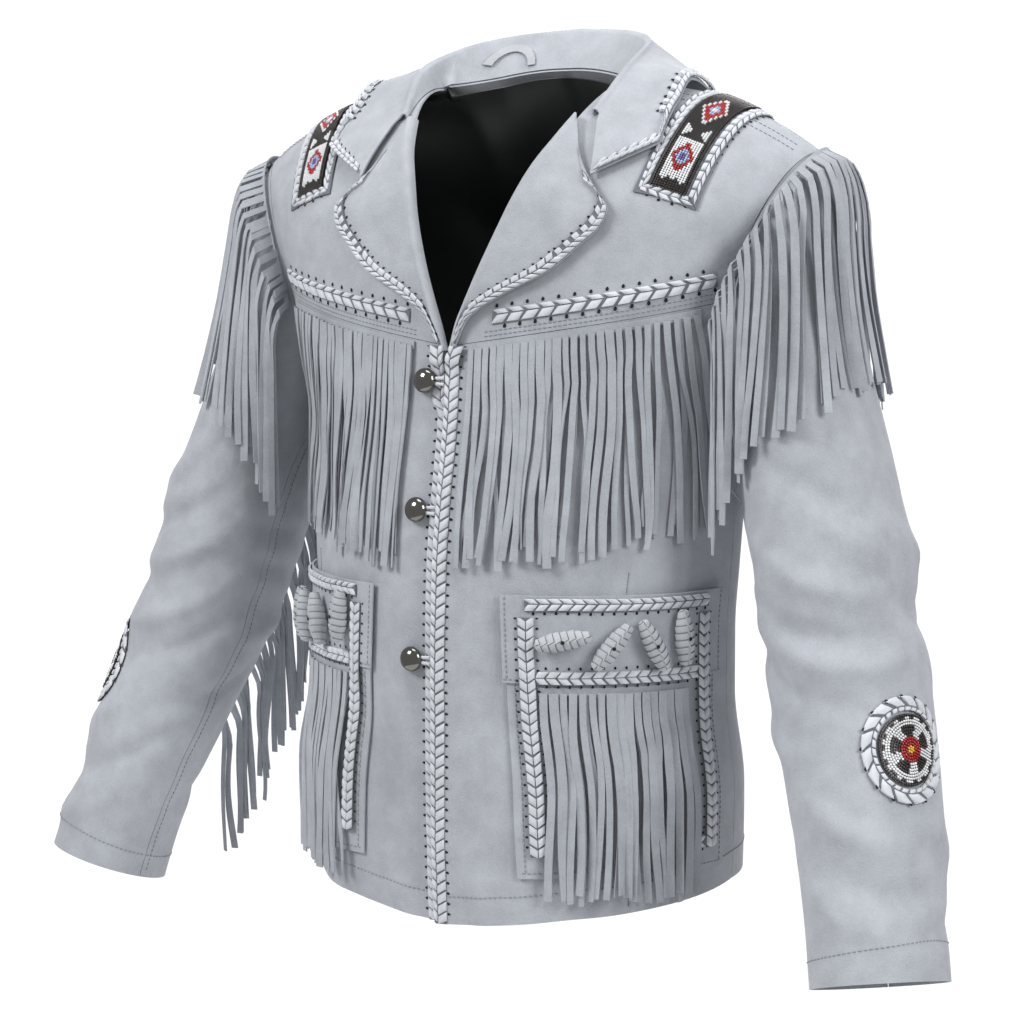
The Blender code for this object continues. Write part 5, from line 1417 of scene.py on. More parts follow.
def lapel_lacing(bag):
    """The lacing round a lapel: plaits in two rows, and small tabs over its upper part."""
    along = np.linspace(0.04, 1.0, 90)
    edge_x, edge_z = lapel_surface(along, 1.0)
    roll_x, roll_z = lapel_surface(along, 0.0)
    span = np.hypot(edge_x - roll_x, edge_z - roll_z)
    share = np.clip(1 - LAPEL_LACE_W / np.maximum(span, 1e-6), 0.18, 1)
    rails = []
    for part in (1.0 + 0 * share, share):
        x, z = lapel_surface(along, part)
        base = trunk_at(x, z, -1)
        out = trunk_facing(base, -1)
        rails.append(base + out * (lapel_lift(along, part) + LACE + 3 * REST)[:, None])
    band = Band(*rails, out, HOLE_LIFT - LACE - 3 * REST)
    band.base(bag)
    turn = band.length * TAB_START
    s = spaced(turn, 0.0076)
    room = np.minimum(1.0, band.read(band.width, s) / LAPEL_LACE_W)
    plaits(bag, band, s, 0.0056 * room, 0.0108 * room, 0.0070, 0.0040)
    plaits(bag, band, s + 0.0018, 0.0004, 0.0053 * room, 0.0070, -0.0040)
    holes(bag, band, s + 0.0036, 0.0121 * room, 0.0010, 1.2)
    s = turn + spaced(band.length - turn, TAB_PITCH)
    plaits(bag, band, s, 0.0046, 0.0098, 0.0056, 0.0010, sink=0.0020)
    holes(bag, band, s, 0.0112, 0.0011, 1.2)
    s = turn + spaced(band.length - turn, RIM_PITCH)
    plaits(bag, band, s, 0.0004, 0.0048, 0.0056, -0.0042)


def make_yoke_lacing(word):
    """The laced strip over the chest fringe, with a larger hole at each end."""
    x = np.linspace(STRIP_IN, STRIP_OUT, 60)
    low = yoke_seam_z(x) + STRIP_RISE
    first, out = on_trunk(x, low, LACE + REST)
    second, _ = on_trunk(x, low + STRIP_LACE_W, LACE + REST)
    band = Band(first, second, out, HOLE_LIFT - LACE - REST)
    bag = Bag()
    laced(bag, band, "yoke")
    holes(bag, band, np.array([-0.0035, band.length + 0.0035]), 0.0062, 0.0024, 1.0)
    bag.make(f"lacing_yoke_{word}", "lace", LACE_LOOKS, f"yoke_lacing_{word}")


# Pockets

POCKET_LIFT = SUEDE + POCKET_CLEAR
FLAP_LIFT = POCKET_LIFT + SUEDE + REST
POCKET_LACE_LIFT = FLAP_LIFT + LACE + 2 * REST
POCKET_HOLE_LIFT = 0.0003
POCKET_STEP = 0.8
CORNER_IN = POCKET_OUT - 14.0
UPRIGHT_IN, UPRIGHT_OUT = (POCKET_IN + 4.0, POCKET_IN + 8.3), (POCKET_OUT - 9.5, POCKET_OUT - 5.0)


def pocket_band(first, second):
    """A strip on a pocket between two rails, each a pair of angles and heights."""
    rails = []
    for angle, z in (first, second):
        base = pocket_point(angle, z)
        out = trunk_facing(base, -1)
        rails.append(base + out * POCKET_LACE_LIFT)
    return Band(*rails, out, POCKET_HOLE_LIFT - LACE - 2 * REST)


def pocket_cloth(start, end, rows, lift):
    """A grid over a front between two angles, and its directions outward."""
    angle = np.linspace(start, end, 61)[None, :]
    grid = pocket_point(angle, rows[:, None])
    out = trunk_facing(grid, -1)
    return grid + out * lift, out


def make_pocket(word):
    """A patch pocket and its flap, each with a row of sewing inside its edge."""
    seams = Bag()
    rows = np.linspace(POCKET_BOTTOM, POCKET_TOP - 0.002, 50)
    grid, out = pocket_cloth(POCKET_IN + POCKET_STEP, POCKET_OUT, rows, POCKET_LIFT)
    cloth(f"pocket_{word}", grid, out)
    for edge in ((slice(1, -1), 2), (slice(1, -1), -3), (1, slice(1, -1))):
        stitches(seams, grid[edge], out[edge], wide=0.0008)
    rows = np.linspace(FLAP_BOTTOM, POCKET_TOP, 26)
    grid, out = pocket_cloth(POCKET_IN, POCKET_OUT + POCKET_STEP, rows, FLAP_LIFT)
    cloth(f"flap_{word}", grid, out)
    for edge in ((slice(1, None), 1), (slice(1, None), -2), 1):
        stitches(seams, grid[edge], out[edge], wide=0.0008)
    seams.make(f"seams_pocket_{word}", "lace", ("stitch",))


def make_pocket_lacing(word):
    """Laced strips down both sides of a pocket, over its fringe and at its lower outer corner, and the
    strip along the top of its flap."""
    bag = Bag()
    foot = POCKET_BOTTOM + 0.018
    z = np.linspace(foot, POCKET_TOP - 0.0165, 70)
    for start, end in (UPRIGHT_IN, UPRIGHT_OUT):
        doubled(bag, pocket_band((start, z), (end, z)))
    angle = np.linspace(UPRIGHT_IN[1], UPRIGHT_OUT[0], 60)
    doubled(bag, pocket_band((angle, FLAP_BOTTOM - 0.001), (angle, FLAP_BOTTOM + 0.0105)), 0.0086)
    angle = np.linspace(CORNER_IN, UPRIGHT_OUT[0], 12)
    doubled(bag, pocket_band((angle, foot), (angle, foot + 0.0105)))
    bag.make(f"lacing_pocket_{word}", "lace", LACE_LOOKS, f"pocket_lacing_{word}")
    bag = Bag()
    angle = np.linspace(POCKET_IN + 6, POCKET_OUT - 6, 60)
    laced(bag, pocket_band((angle, POCKET_TOP - LAPEL_LACE_W), (angle, POCKET_TOP - 0.0015)), "flap")
    bag.make(f"lacing_flap_{word}", "lace", LACE_LOOKS, f"pocket_top_lacing_{word}")


def doubled(bag, band, pitch=0.0080):
    """A strip of two equal plaited rows with holes along both sides."""
    band.base(bag)
    wide = float(np.mean(band.width))
    s = spaced(band.length, pitch)
    plaits(bag, band, s, 0.0008, wide * 0.5 - 0.0001, pitch - 0.0009, -0.0042)
    plaits(bag, band, s, wide * 0.5 + 0.0001, wide - 0.0008, pitch - 0.0009, 0.0042)
    for across in (-0.0013, wide + 0.0013):
        holes(bag, band, s + 0.0036, across, 0.0010, 1.2)


# Fringes

FALL_STEPS = 15
YOKE_SEAM_DROP = 0.0016
# Layers of the chest fringe: more strands, more length, lift, phase, stray and strand width
CHEST_LAYERS = ((-7, -0.008, 0.0014, 0.9, 0.0034, 0.0046), (1, 0.0, 0.0040, 0.4, 0.0027, 0.0052))
# Layers of the pocket fringe: strands, lift, strand width and stray in degrees
POCKET_LAYERS = ((12, 0.0002, 0.0048, 1.1), (17, 0.0024, 0.0060, 0.85))
# Layers of the armhole fringe: strands, gap over the sleeve, more length and strand width
ARMHOLE_LAYERS = ((27, 0.0046, -0.008, 0.0050), (36, 0.0074, 0.0, 0.0056))
ARM_MIDDLE = np.array([0.24, 0.0, 0.0])
# Layers of the sleeve fringe: strands, distance behind the sleeve and strand width
SLEEVE_LAYERS = ((19, 0.0, 0.0050), (22, 0.0035, 0.0056))
BEHIND = np.array([0.0, 1.0, 0.0])


def fringe_piece(bag, place, word):
    """The finished piece of a fringe."""
    bag.make(f"fringe_{place}_{word}", "suede", ("fringe",), f"{place}_fringe_{word}", sharp=40)


def strip_wall(bag, tops, roots, out):
    """The uncut strip that the strands of a fringe hang from."""
    grid = np.stack([roots, (roots + tops) / 2, tops])
    bag.wall(grid + out[None] * STRAND_T, grid)


def chest_layer(bag, inner_x, count, length, lift, phase, size, width):
    """One layer of the chest fringe. Its strands stray sideways by size, and phase shifts their lengths."""
    x = middles(inner_x, CHEST_OUT, count)
    drop = np.linspace(0.0, 1.0, FALL_STEPS)
    top = yoke_seam_z(x) - YOKE_SEAM_DROP - STRIP_H * 0.6
    length = length + random.normal(0, 0.0035, count) + wander(count, 0.004, 1.9, phase)
    z = top[:, None] - length[:, None] * drop
    across = x[:, None] + fall_noise(count, FALL_STEPS, size)
    rise = lift + 0.0014 * drop + 0.0006 * (np.arange(count) % 2)[:, None] + 0 * z
    paths, out = on_trunk(across, z, rise)
    sides = unit(np.stack([-out[..., 1], out[..., 0], 0 * z], axis=-1))
    sides, out = twist(sides, out, 26.0, 48)
    strands(bag, paths, sides, out, uneven(width, 0.16, count))


def make_chest_fringe(word, inner_x):
    """The chest fringe in two layers, under the yoke seam."""
    bag = Bag()
    x = np.linspace(inner_x, CHEST_OUT, 60)
    seam = yoke_seam_z(x) - YOKE_SEAM_DROP
    tops, out = on_trunk(x, seam, 0.0010)
    roots, _ = on_trunk(x, seam - STRIP_H, 0.0014)
    strip_wall(bag, tops, roots, out)
    for strands_more, length_more, *layer in CHEST_LAYERS:
        chest_layer(bag, inner_x, CHEST_STRANDS + strands_more, CHEST_LENGTH + length_more, *layer)
    fringe_piece(bag, "chest", word)


def make_pocket_fringe(word):
    """A pocket's fringe in two layers, under its flap."""
    lift = SUEDE + STRAND_T + POCKET_CLEAR + REST
    top, low = FLAP_BOTTOM - 0.0030, FLAP_BOTTOM - 0.0030 - STRIP_H
    bag = Bag()
    start, end = POCKET_IN + 9.5, POCKET_OUT - 13.5

    def place(at, z, height):
        base = trunk_round(at, z)
        return base + unit(base * np.array([1, 1, 0])) * np.broadcast_to(height, base.shape[:-1])[..., None]

    angle = np.linspace(start, end, 40)
    tops, roots = place(angle, top + 0 * angle, lift), place(angle, low + 0 * angle, lift)
    strip_wall(bag, tops, roots, -unit(tops * np.array([1, 1, 0])))
    drop = np.linspace(0.0, 1.0, FALL_STEPS)
    for count, rise, wide, size in POCKET_LAYERS:
        middle = middles(start, end, count)
        length = POCKET_LENGTH + random.normal(0, 0.003, count)
        z = low + 0.002 - length[:, None] * drop
        at = middle[:, None] + fall_noise(count, FALL_STEPS, size)
        swing = (POCKET_SWING - 0.001) * smooth(drop / 0.5)
        out_lift = lift + rise + swing + 0.0006 * (np.arange(count) % 2)[:, None]
        paths = place(at, z, out_lift)
        turn = np.radians(at)
        sides = unit(point(np.cos(turn) * 0.19, np.sin(turn) * 0.14, 0 * turn))
        out = unit(np.cross(sides, np.array([0.0, 0.0, 1.0])))
        sides, out = twist(sides, out, 24.0, 42)
        strands(bag, paths, sides, out, uneven(wide, 0.13, count))
    fringe_piece(bag, "pocket", word)


def armhole_layer(bag, count, gap, more, wide):
    """One layer of the armhole fringe. Its strands leave the seam and fall over the sleeve."""
    edges = stations(-100.0, 96.0, count, 0.62)
    seam = sleeve_point(edges, 0.0)
    heading = unit(sleeve_point(edges, 0.045) - seam)
    out = unit(seam - np.array([0.19, 0.01, -0.17]))
    tops = seam + out * (gap - 0.0022) + heading * 0.0022
    roots = tops + heading * STRIP_H
    if more == 0.0:
        strip_wall(bag, tops[::-1], roots[::-1], out[::-1])
    start = (tops[::2] + tops[1::2]) / 2 + heading[::2] * STRIP_H * 0.4
    length = ARMHOLE_LENGTH + more + random.normal(0, 0.004, count)
    drop = np.concatenate([np.linspace(0, 0.2, 6)[:-1], np.linspace(0.2, 1.0, FALL_STEPS - 5)])
    paths = falling(start, unit(heading[::2] + heading[1::2]), length, drop, gap)
    along = unit(roots[1::2] - roots[::2])
    level = paths - ARM_MIDDLE
    around = unit(np.stack([level[..., 1], -level[..., 0], 0 * level[..., 2]], axis=-1))
    flip = np.sum(around * along[:, None, :], axis=-1, keepdims=True) < 0
    around = np.where(flip, -around, around)
    blend = smooth(drop / 0.4)[None, :, None]
    sides = unit(along[:, None, :] * (1 - blend) + around * blend)
    faces = unit(np.cross(np.gradient(paths, axis=1), sides))
    away = np.sum(faces * (level + np.array([0.0, 0.0, 0.2])), axis=-1, keepdims=True)
    faces = np.where(away < 0, -faces, faces)
    stray = fall_noise(count, len(drop), 0.0030)[..., None]
    paths = paths + around * stray + faces * 0.0006 * (np.arange(count) % 2)[:, None, None]
    sides, faces = twist(sides, faces, 24.0, 44)
    strands(bag, paths, sides, faces, uneven(wide, 0.13, count))


def make_armhole_fringe(word):
    """The armhole fringe in two layers."""
    bag = Bag()
    for layer in ARMHOLE_LAYERS:
        armhole_layer(bag, *layer)
    fringe_piece(bag, "armhole", word)


def make_sleeve_fringe(word):
    """The fringe down the back seam of a sleeve, in two layers."""
    bag = Bag()
    for count, behind, wide in SLEEVE_LAYERS:
        z = middles(SLEEVE_FRINGE_TOP, SLEEVE_FRINGE_END, count)
        seam = sleeve_at(np.full(count, float(BACK_SEAM)), z)
        start = seam + BEHIND * (STRAND_T + 0.002)
        length = SLEEVE_LENGTH + random.normal(0, 0.005, count)
        drop = np.linspace(0.0, 1.0, FALL_STEPS)
        stagger = 0.0050 * (np.arange(count) % 3) + behind
        depth = start[:, 1:2] + (0.005 + stagger[:, None]) * smooth(drop / 0.3)
        down = start[:, 2:3] - length[:, None] * drop
        across = start[:, 0:1] + fall_noise(count, FALL_STEPS, 0.0040)
        paths = point(across, depth, down)
        lean = smooth(drop / 0.3)[None, :, None]
        sides = unit(np.array([0.55, 0.0, -0.83]) * (1 - lean) + np.array([1.0, 0.12, 0.0]) * lean)
        sides = np.broadcast_to(sides, paths.shape)
        out = np.broadcast_to(BEHIND, paths.shape)
        sides, out = twist(sides, out, 18.0, 38)
        strands(bag, paths, sides, out, wide * (1 + 0.08 * random.normal(0, 1, count)))
    z = np.linspace(SLEEVE_FRINGE_TOP, SLEEVE_FRINGE_END, 50)
    seam = sleeve_at(np.full(len(z), float(BACK_SEAM)), z)
    tops = seam + np.array([-0.001, 0.0004, 0.0])
    strip_wall(bag, tops, tops + np.array([0.0, 0.0030, -0.003]), np.broadcast_to(BEHIND, seam.shape))
    fringe_piece(bag, "sleeve", word)


# Toggles, buttons and loops

WRAPS, WRAP_STEPS, ROUND_STEPS = 8.0, 9, 28


def toggle_form():
    """A rolled toggle along +Z. Its leather is wound in a rising spiral whose turns overlap. The faces of
    the step where each turn drops onto the next are kept apart as dark, for painted shade in that groove.
    """
    levels = np.arange(int(WRAPS * WRAP_STEPS) + WRAP_STEPS + 1)
    turn = np.arange(ROUND_STEPS) * math.tau / ROUND_STEPS
    up = -1 + 2 * (levels[:, None] / WRAP_STEPS - 1 + turn[None, :] / math.tau) / WRAPS
    up = np.clip(up, -1.0, 1.0)
    shares = np.array([height for _, height in TOGGLE_SHAPE])
    radii = np.array([radius for radius, _ in TOGGLE_SHAPE])
    barrel = np.interp(up, shares, radii)
    wrap = (levels % WRAP_STEPS)[:, None] / WRAP_STEPS
    radius = TOGGLE_R * barrel * (0.91 + 0.10 * wrap) * (1 - 0.05 * (wrap < 0.05))
    points = point(radius * np.cos(turn), radius * np.sin(turn), up * TOGGLE_L / 2)
    spot = np.arange(len(levels) * ROUND_STEPS).reshape(-1, ROUND_STEPS)
    main, dark = [], []
    for level in range(len(levels) - 1):
        nearby = np.concatenate([spot[level : level + 2], spot[level : level + 2, :1]], axis=1)
        side = quads(nearby)
        (dark if level % WRAP_STEPS == WRAP_STEPS - 1 else main).append(side)
    return points.reshape(-1, 3), np.concatenate(main), np.concatenate(dark)


def aligned(points, centre, axis, out):
    """Points of a small form along +Z, put at a centre along an axis, with their +X facing out."""
    axis = unit(axis)
    out = unit(out - np.dot(out, axis) * axis)
    beside = np.cross(axis, out)
    return centre + points[:, :1] * out + points[:, 1:2] * beside + points[:, 2:] * axis


def make_toggles(word, toggles):
    """The rolled toggles on a pocket's flap, each at its own lean."""
    points, main, dark = toggle_form()
    lift = 2 * SUEDE + REST + POCKET_CLEAR + TOGGLE_R + TOGGLE_CLEAR
    for number, (angle, rise, lean) in enumerate(toggles, 1):
        z = (POCKET_TOP + FLAP_BOTTOM) / 2 - 0.001 + rise
        base = trunk_round(angle, z)
        turn = math.radians(angle)
        out = unit(np.array([math.sin(turn) * 0.144, -math.cos(turn) * 0.183, 0.0]))
        across = np.array([-out[1], out[0], 0.0])
        tilt = math.radians(lean)
        axis = across * math.sin(tilt) + np.array([0, 0, 1.0]) * math.cos(tilt)
        placed = aligned(points, base + out * lift, axis, out)
        bag = Bag()
        bag.add(placed, main)
        # The groove faces take the grey gap look: painted shade between the turns.
        bag.add(placed, dark, 1)
        # The eye: a flat disc painted near black as the shade inside the hole.
        turns = np.arange(8) * math.tau / 8
        eye = point(TOGGLE_R * 1.02, 0.0016 * np.cos(turns), 0.0016 * np.sin(turns))
        bag.add(aligned(eye, base + out * lift, axis, out), [list(range(8))], 2)
        name = f"toggle_{word}_{number}"
        bag.make(f"rolled_{name}", "suede", ("toggle", "gap", "hole"), name, sharp=35)


def turned(profile, segments):
    """A solid of revolution about +Z from a profile of radius and height."""
    turn = np.arange(segments) * math.tau / segments
    rings = np.array([[(r * math.cos(a), r * math.sin(a), h) for a in turn] for r, h in profile])
    return rings.reshape(-1, 3), tube_faces(len(profile), segments)


def cord(bag, line, radius, flat):
    """A cord along a line of points on the front, flattened towards the cloth."""
    along = unit(np.gradient(line, axis=0))
    out = np.array([0.0, -1.0, 0.0])
    up = unit(out - np.sum(along * out, axis=-1, keepdims=True) * along)
    beside = np.cross(along, up)
    turn = np.arange(8) * math.tau / 8
    ring = beside[:, None] * np.cos(turn)[:, None] + up[:, None] * np.sin(turn)[:, None] * flat
    bag.add(line[:, None] + ring * radius, tube_faces(len(line), 8))


def make_button(number, centre, out):
    """A domed button on its foot."""
    bends = np.radians(np.linspace(0, 90, 12))
    rise = BUTTON_H - BUTTON_RIM
    profile = [(0.0001, 0.0), (BUTTON_FOOT_R, 0.0), (BUTTON_FOOT_R, 0.0012)]
    profile += [(BUTTON_R * 0.97, 0.0016), (BUTTON_R, 0.0022)]
    profile += [(max(BUTTON_R * math.cos(b), 0.00005), BUTTON_RIM + rise * math.sin(b)) for b in bends]
    points, faces = turned(profile, 40)
    bag = Bag()
    bag.add(aligned(points, centre, out, np.array([1.0, 0.0, 0.0])), faces)
    bag.make(f"dome_button_{number}", "metal", ("metal",), f"button_{number}", sharp=50)


def make_loop(number, z, lift):
    """A button's loop: two cords that draw together towards the button."""
    bag = Bag()
    x = np.linspace(LOOP_X[0] - 0.001, LOOP_X[1] + 0.0004, 12)
    for side in (-1, 1):
        line, _ = on_trunk(x, z + side * LOOP_W * 0.30 * np.sqrt(np.linspace(0.55, 1.0, 12)), lift)
        cord(bag, line, 0.0013, 0.6)
    bag.make(f"cord_loop_{number}", "suede", ("lace",), f"button_loop_{number}")


def make_buttons():
    """The three buttons on the front's edge, each with its loop."""
    for number, z in enumerate(BUTTON_HEIGHTS, 1):
        base = trunk_at(BUTTON_X, z, -1)
        out = trunk_facing(base, -1)
        shift = float(overlap_shift(-BUTTON_X, z, OVERLAP))
        make_button(number, base + out * (BUTTON_LIFT + shift), out)
        make_loop(number, z, shift + LOOP_LIFT - 0.0002)


# Beadwork

BEAD_PITCH_X, BEAD_PITCH_Y, BEAD_R = 0.00193, 0.00190, 0.00098
BEAD_COLUMNS = 14
BEAD_LIFT, BACKING_TOP, BACKING_FOOT = 0.0028, 0.0022, 0.0009
ROSETTE_ROWS, ROSETTE_PITCH, ROSETTE_DOME = 13, 0.00195, 0.0008
FRAME_CLEAR, FRAME_END_TURN, FRAME_END_REACH = 0.0012, 7.0, 0.0125
SHOULDER_INSIDE = (0.17, 0.01, -0.10)


def chart(row, column):
    """The colour of a bead of the shoulder strips: rows count from an end, columns across. Between dark
    edges come a dark end with white points, a lozenge on white, a dark stretch and a lozenge on dark."""
    dx = abs(column - 6.5)
    if column in (0, 1, 12, 13):
        return DARK
    if row <= 6:
        peak = min(abs(column - middle) for middle in (3.0, 6.5, 10.0))
        return WHITE if row - 4 > peak + 0.2 and peak < 2 else DARK
    if row <= 27:
        r = dx / 4.5 + abs(row - 17) / 8.5
        if r > 1:
            return WHITE
        return RED if r > 0.62 else (BLUE if r > 0.3 else (PURPLE if dx < 1 else WHITE))
    if row <= 35:
        depth = abs(row - 31.5)
        if dx > 1.6 + depth * 0.9 and dx < 5:
            return WHITE
        return WHITE if dx < 1 and row in (30, 33) else DARK
    if row <= 58:
        r = dx / 5.2 + abs(row - 47) / 11.0
        if r > 1:
            return DARK
        return WHITE if r > 0.80 else (RED if r > 0.42 else (BLUE if r > 0.16 else WHITE))
    return DARK


def make_bead_strip(word):
    """The beads over a shoulder, in rows across the strip, on their backing."""
    turn = bead_turns(2001)[60:-60]
    middle = over_shoulder(bead_middle(turn), turn)
    step = np.linalg.norm(np.diff(middle, axis=0), axis=-1)
    s = np.concatenate([[0.0], np.cumsum(step)])
    rows = int(s[-1] / BEAD_PITCH_Y)
    row = np.arange(rows)
    at = np.interp((row + 0.5) * s[-1] / rows, s, turn)
    column = np.arange(BEAD_COLUMNS)
    aside = (column - (BEAD_COLUMNS - 1) / 2) * BEAD_PITCH_X
    grid = across_shoulder(at, aside)
    out = normals(grid, SHOULDER_INSIDE)
    along = unit(np.gradient(grid, axis=0))
    half = (rows + 1) // 2
    kinds = np.array([[chart(min(r, rows - 1 - r) * 67 / half, c) for c in column] for r in row])
    bag = Bag()
    reach = BEAD_STRIP_W / 2
    base = across_shoulder(at[::3], np.array([-reach, 0.0, reach]))
    face = normals(base, SHOULDER_INSIDE)
    bag.wall(base + face * BACKING_TOP, base + face * BACKING_FOOT, DARK)
    centre = grid + out * BEAD_LIFT
    beads(bag, *(part.reshape(-1, 3) for part in (centre, along, out)), kinds.reshape(-1))
    bag.make(f"beads_shoulder_{word}", "beads", BEAD_LOOKS, f"bead_strip_{word}")


def make_bead_frame(word):
    """The laced frame round a bead strip: its long sides, and then its ends."""
    bag = Bag()
    reach = BEAD_STRIP_W / 2
    outer = bead_turns(241)
    inner = outer * (1 - FRAME_END_TURN * (BEAD_FRAME_W - FRAME_CLEAR) / FRAME_END_REACH / abs(outer[0]))
    inner_at, outer_at = reach + FRAME_CLEAR, reach + BEAD_FRAME_W
    for order, side in ((slice(None), 1), (slice(None, None, -1), -1)):
        rails = ((inner[order], side * inner_at), (outer[order], side * outer_at))
        frame_side(bag, *(over_shoulder(bead_middle(turns) + off, turns) for turns, off in rails))
    for end in (0, -1):
        across = np.linspace(-1, 1, 30) * (1 if end else -1)
        rails = ((np.full(30, inner[end]), inner_at), (np.full(30, outer[end]), outer_at))
        frame_side(bag, *(over_shoulder(bead_middle(turns) + across * off, turns) for turns, off in rails))
    bag.make(f"lacing_beads_{word}", "lace", LACE_LOOKS, f"bead_frame_{word}")


def across_shoulder(turns, aside):
    """Points of the bead strip's face: one row for each turn, aside from its middle."""
    return over_shoulder(bead_middle(turns)[:, None] + aside, turns[:, None] + 0 * aside)


def frame_side(bag, first, second):
    """One side of the laced frame round the beads, from its inner rail to its outer one."""
    out = normals(np.stack([first, second]), SHOULDER_INSIDE)[0]
    height = LACE + 2 * REST
    laced(bag, Band(first + out * height, second + out * height, out, HOLE_LIFT - height), "beads")


def make_rosette_ring(word):
    """The laced ring round a rosette."""
    turn = np.linspace(0, 360, 145)
    height = ROSETTE_CLEAR + LACE
    inner, outer = (rosette_at(np.full(145, r), turn, height) for r in (ROSETTE_RING_IN, ROSETTE_RING_OUT))
    middle = np.full(145, (ROSETTE_RING_IN + ROSETTE_RING_OUT) / 2)
    out = unit(rosette_at(middle, turn, height + 0.01) - rosette_at(middle, turn, height))
    band = Band(inner, outer, out, -HOLE_LIFT)
    bag = Bag()
    band.base(bag)
    pitch = band.length / 17
    s = (np.arange(17) + 0.5) * pitch
    plaits(bag, band, s, 0.0036, 0.0112, pitch * 0.78, 0.0070, taper=-0.15)
    holes(bag, band, s + 0.0068, 0.0104, 0.0014, 1.3, lean=0.5)
    pitch = band.length / 30
    plaits(bag, band, (np.arange(30) + 0.5) * pitch, 0.0002, 0.0033, pitch * 0.82, -0.0014)
    bag.make(f"lacing_rosette_{word}", "lace", LACE_LOOKS, f"rosette_ring_{word}")


def make_rosette(word):
    """The beads of a rosette in rings, on their backing."""
    bag = Bag()
    radii = np.linspace(0.0002, ROSETTE_R, 9)[:, None]
    turn = np.linspace(0, 360, 49)[None, :]
    height = ROSETTE_CLEAR + BACKING_TOP - ROSETTE_DOME * (radii / ROSETTE_R) ** 2
    top = rosette_at(radii, turn, (height + 0 * turn)[..., None])
    under = rosette_at(radii, turn, 0.0004)
    bag.wall(top, under, DARK)
    where, kinds = [], []
    for ring in range(ROSETTE_ROWS):
        radius = ring * (ROSETTE_R - 0.0010) / (ROSETTE_ROWS - 1)
        number = max(1, int(math.tau * radius / ROSETTE_PITCH))
        for k in range(number):
            angle = 360 * (k + 0.5 * (ring % 2)) / number
            where.append((radius, angle))
            kinds.append(rosette_colour(radius, angle))
    where = np.array(where)
    lift = (ROSETTE_CLEAR + BEAD_LIFT - ROSETTE_DOME * (where[:, 0] / ROSETTE_R) ** 2)[:, None]
    centre = rosette_at(where[:, 0], where[:, 1], lift)
    out = unit(rosette_at(where[:, 0], where[:, 1], lift + 0.01) - centre)
    along = unit(rosette_at(where[:, 0], where[:, 1] + 3, lift) - centre + np.array([1e-6, 0, 0]))
    beads(bag, centre, along, out, np.array(kinds))
    bag.make(f"beads_rosette_{word}", "beads", BEAD_LOOKS, f"rosette_{word}")


def rosette_colour(radius, angle):
    """The colour of a rosette's bead: a yellow centre, a red disc, dark wedges, white and a stepped rim."""
    if radius < 0.0031:
        return YELLOW
    if radius < 0.0088:
        return RED
    spoke = abs((angle + 18) % 72 - 36)
    if radius < 0.0160:
        return WHITE if (36 - spoke) * math.radians(1) * radius < 0.0030 else DARK
    if radius < 0.0215:
        return WHITE
    step = (angle % 24) < 12
    return DARK if radius > 0.0232 or step else WHITE


# All pieces

def all_pieces():
    """Makes every piece: each side, and then what lies in the middle."""
    make_looks()
    for side, word, lap, chest, toggles in (
        (1, "left", 0.0, CHEST_IN_LEFT, LEFT_TOGGLES),
        (-1, "right", OVERLAP, CHEST_IN_RIGHT, RIGHT_TOGGLES),
    ):
        hand["now"] = side
        seams = make_front(word, lap)
        make_sleeve(word, seams)
        seams.make(f"seams_{word}", "lace", ("stitch",))
        make_lapel(word, lap)
        make_yoke_lacing(word)
        make_pocket(word)
        make_pocket_lacing(word)
        make_pocket_fringe(word)
        make_toggles(word, toggles)
        make_chest_fringe(word, chest)
        make_armhole_fringe(word)
        make_sleeve_fringe(word)
        make_bead_strip(word)
        make_bead_frame(word)
        make_rosette_ring(word)
        make_rosette(word)
    hand["now"] = 1
    make_linings(make_back())
    make_collar()
    make_buttons()
    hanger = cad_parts["hanger_loop"]
    hanger.data.materials.clear()
    hanger.data.materials.append(LOOKS["toggle"])


# Floor, light and camera

FLOOR_Z, FLOOR_R = -1.34, 1.25
WORLD_STRENGTH, BACKDROP_STRENGTH = 0.42, 1.05
BACKDROP_PLACE, BACKDROP_SIZE = (-3.0, 5.2, -0.5), 7.0
AIM = (0.0, 0.0, -0.32)
# Lights: name, place, size and energy
LIGHTS = (
    ("key", (-1.3, -2.2, 1.5), 1.0, 62.0),
    ("side", (2.6, -0.7, 0.9), 1.2, 46.0),
    ("top", (0.1, -0.2, 2.2), 1.2, 26.0),
    ("back", (-0.8, 2.4, 1.0), 1.6, 40.0),
)
CAMERA_PLACE, CAMERA_TURN = (1.0, -1.732, -0.10), 30.0
CAMERA_LENS, CAMERA_DOWN, CAMERA_YAW = 87.0, 6.75, 0.36


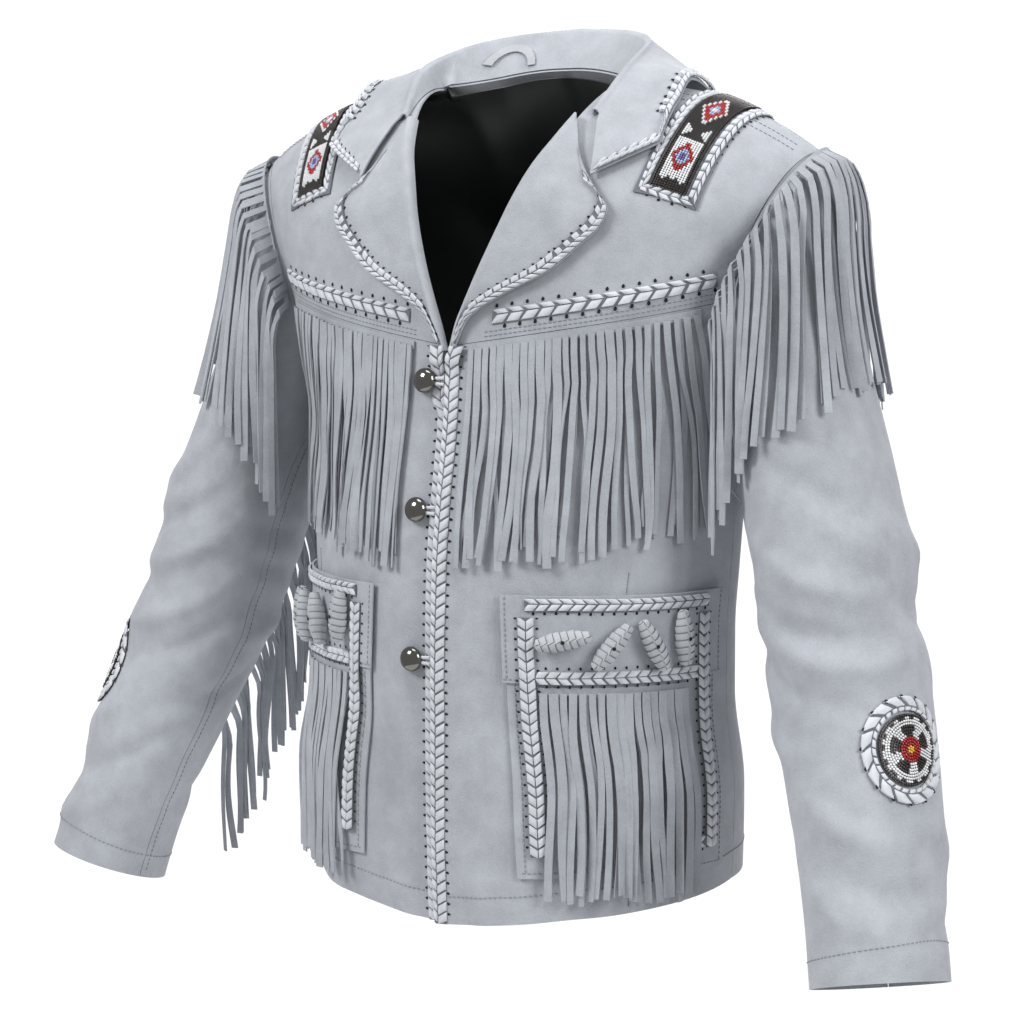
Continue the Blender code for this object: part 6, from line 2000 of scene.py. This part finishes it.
def add_light(name, place, size, energy):
    """A soft square light that is aimed at the jacket's middle."""
    lamp = bpy.data.lights.new(name, "AREA")
    lamp.energy = energy
    lamp.size = size
    made = add_object(name, lamp)
    made.location = place
    made.rotation_euler = (Vector(AIM) - Vector(place)).to_track_quat("-Z", "Y").to_euler()


def make_stage():
    """The floor, the plain light all round and the soft lights."""
    work = bmesh.new()
    bmesh.ops.create_circle(work, cap_ends=True, segments=96, radius=FLOOR_R)
    mesh = bpy.data.meshes.new("floor")
    work.to_mesh(mesh)
    work.free()
    look("floor", (243, 243, 243), 0.9, 0.01)
    mesh.materials.append(LOOKS["floor"])
    floor = add_object("floor", mesh)
    floor.location = (0, 0, FLOOR_Z)
    world = bpy.data.worlds.new("studio")
    world.use_nodes = True
    background = world.node_tree.nodes["Background"]
    background.inputs["Color"].default_value = (1, 1, 1, 1)
    background.inputs["Strength"].default_value = WORLD_STRENGTH
    bpy.context.scene.world = world
    for light in LIGHTS:
        add_light(*light)
    make_backdrop()
    bpy.context.scene.view_settings.view_transform = "Standard"
    bpy.context.scene.view_settings.look = "None"


def make_backdrop():
    """A bright white screen far behind the jacket."""
    mesh = bpy.data.meshes.new("backdrop")
    half = BACKDROP_SIZE / 2
    corners = [(-half, 0, -half), (half, 0, -half), (half, 0, half), (-half, 0, half)]
    mesh.from_pydata(corners, [], [(0, 1, 2, 3)])
    made = bpy.data.materials.new("backdrop")
    made.use_nodes = True
    shader = made.node_tree.nodes["Principled BSDF"]
    shader.inputs["Base Color"].default_value = (0, 0, 0, 1)
    shader.inputs["Emission Color"].default_value = (1, 1, 1, 1)
    shader.inputs["Emission Strength"].default_value = BACKDROP_STRENGTH
    mesh.materials.append(made)
    screen = add_object("backdrop", mesh)
    screen.location = BACKDROP_PLACE
    screen.rotation_euler = (0, 0, math.radians(CAMERA_TURN))


def make_camera():
    """The camera, at the place that the photo was taken from."""
    data = bpy.data.cameras.new("camera")
    data.lens = CAMERA_LENS
    data.sensor_width = 36.0
    camera = add_object("camera", data)
    camera.location = CAMERA_PLACE
    camera.rotation_euler = (math.radians(90 - CAMERA_DOWN), 0.0, math.radians(CAMERA_TURN + CAMERA_YAW))
    bpy.context.scene.camera = camera


all_pieces()
make_stage()
make_camera()
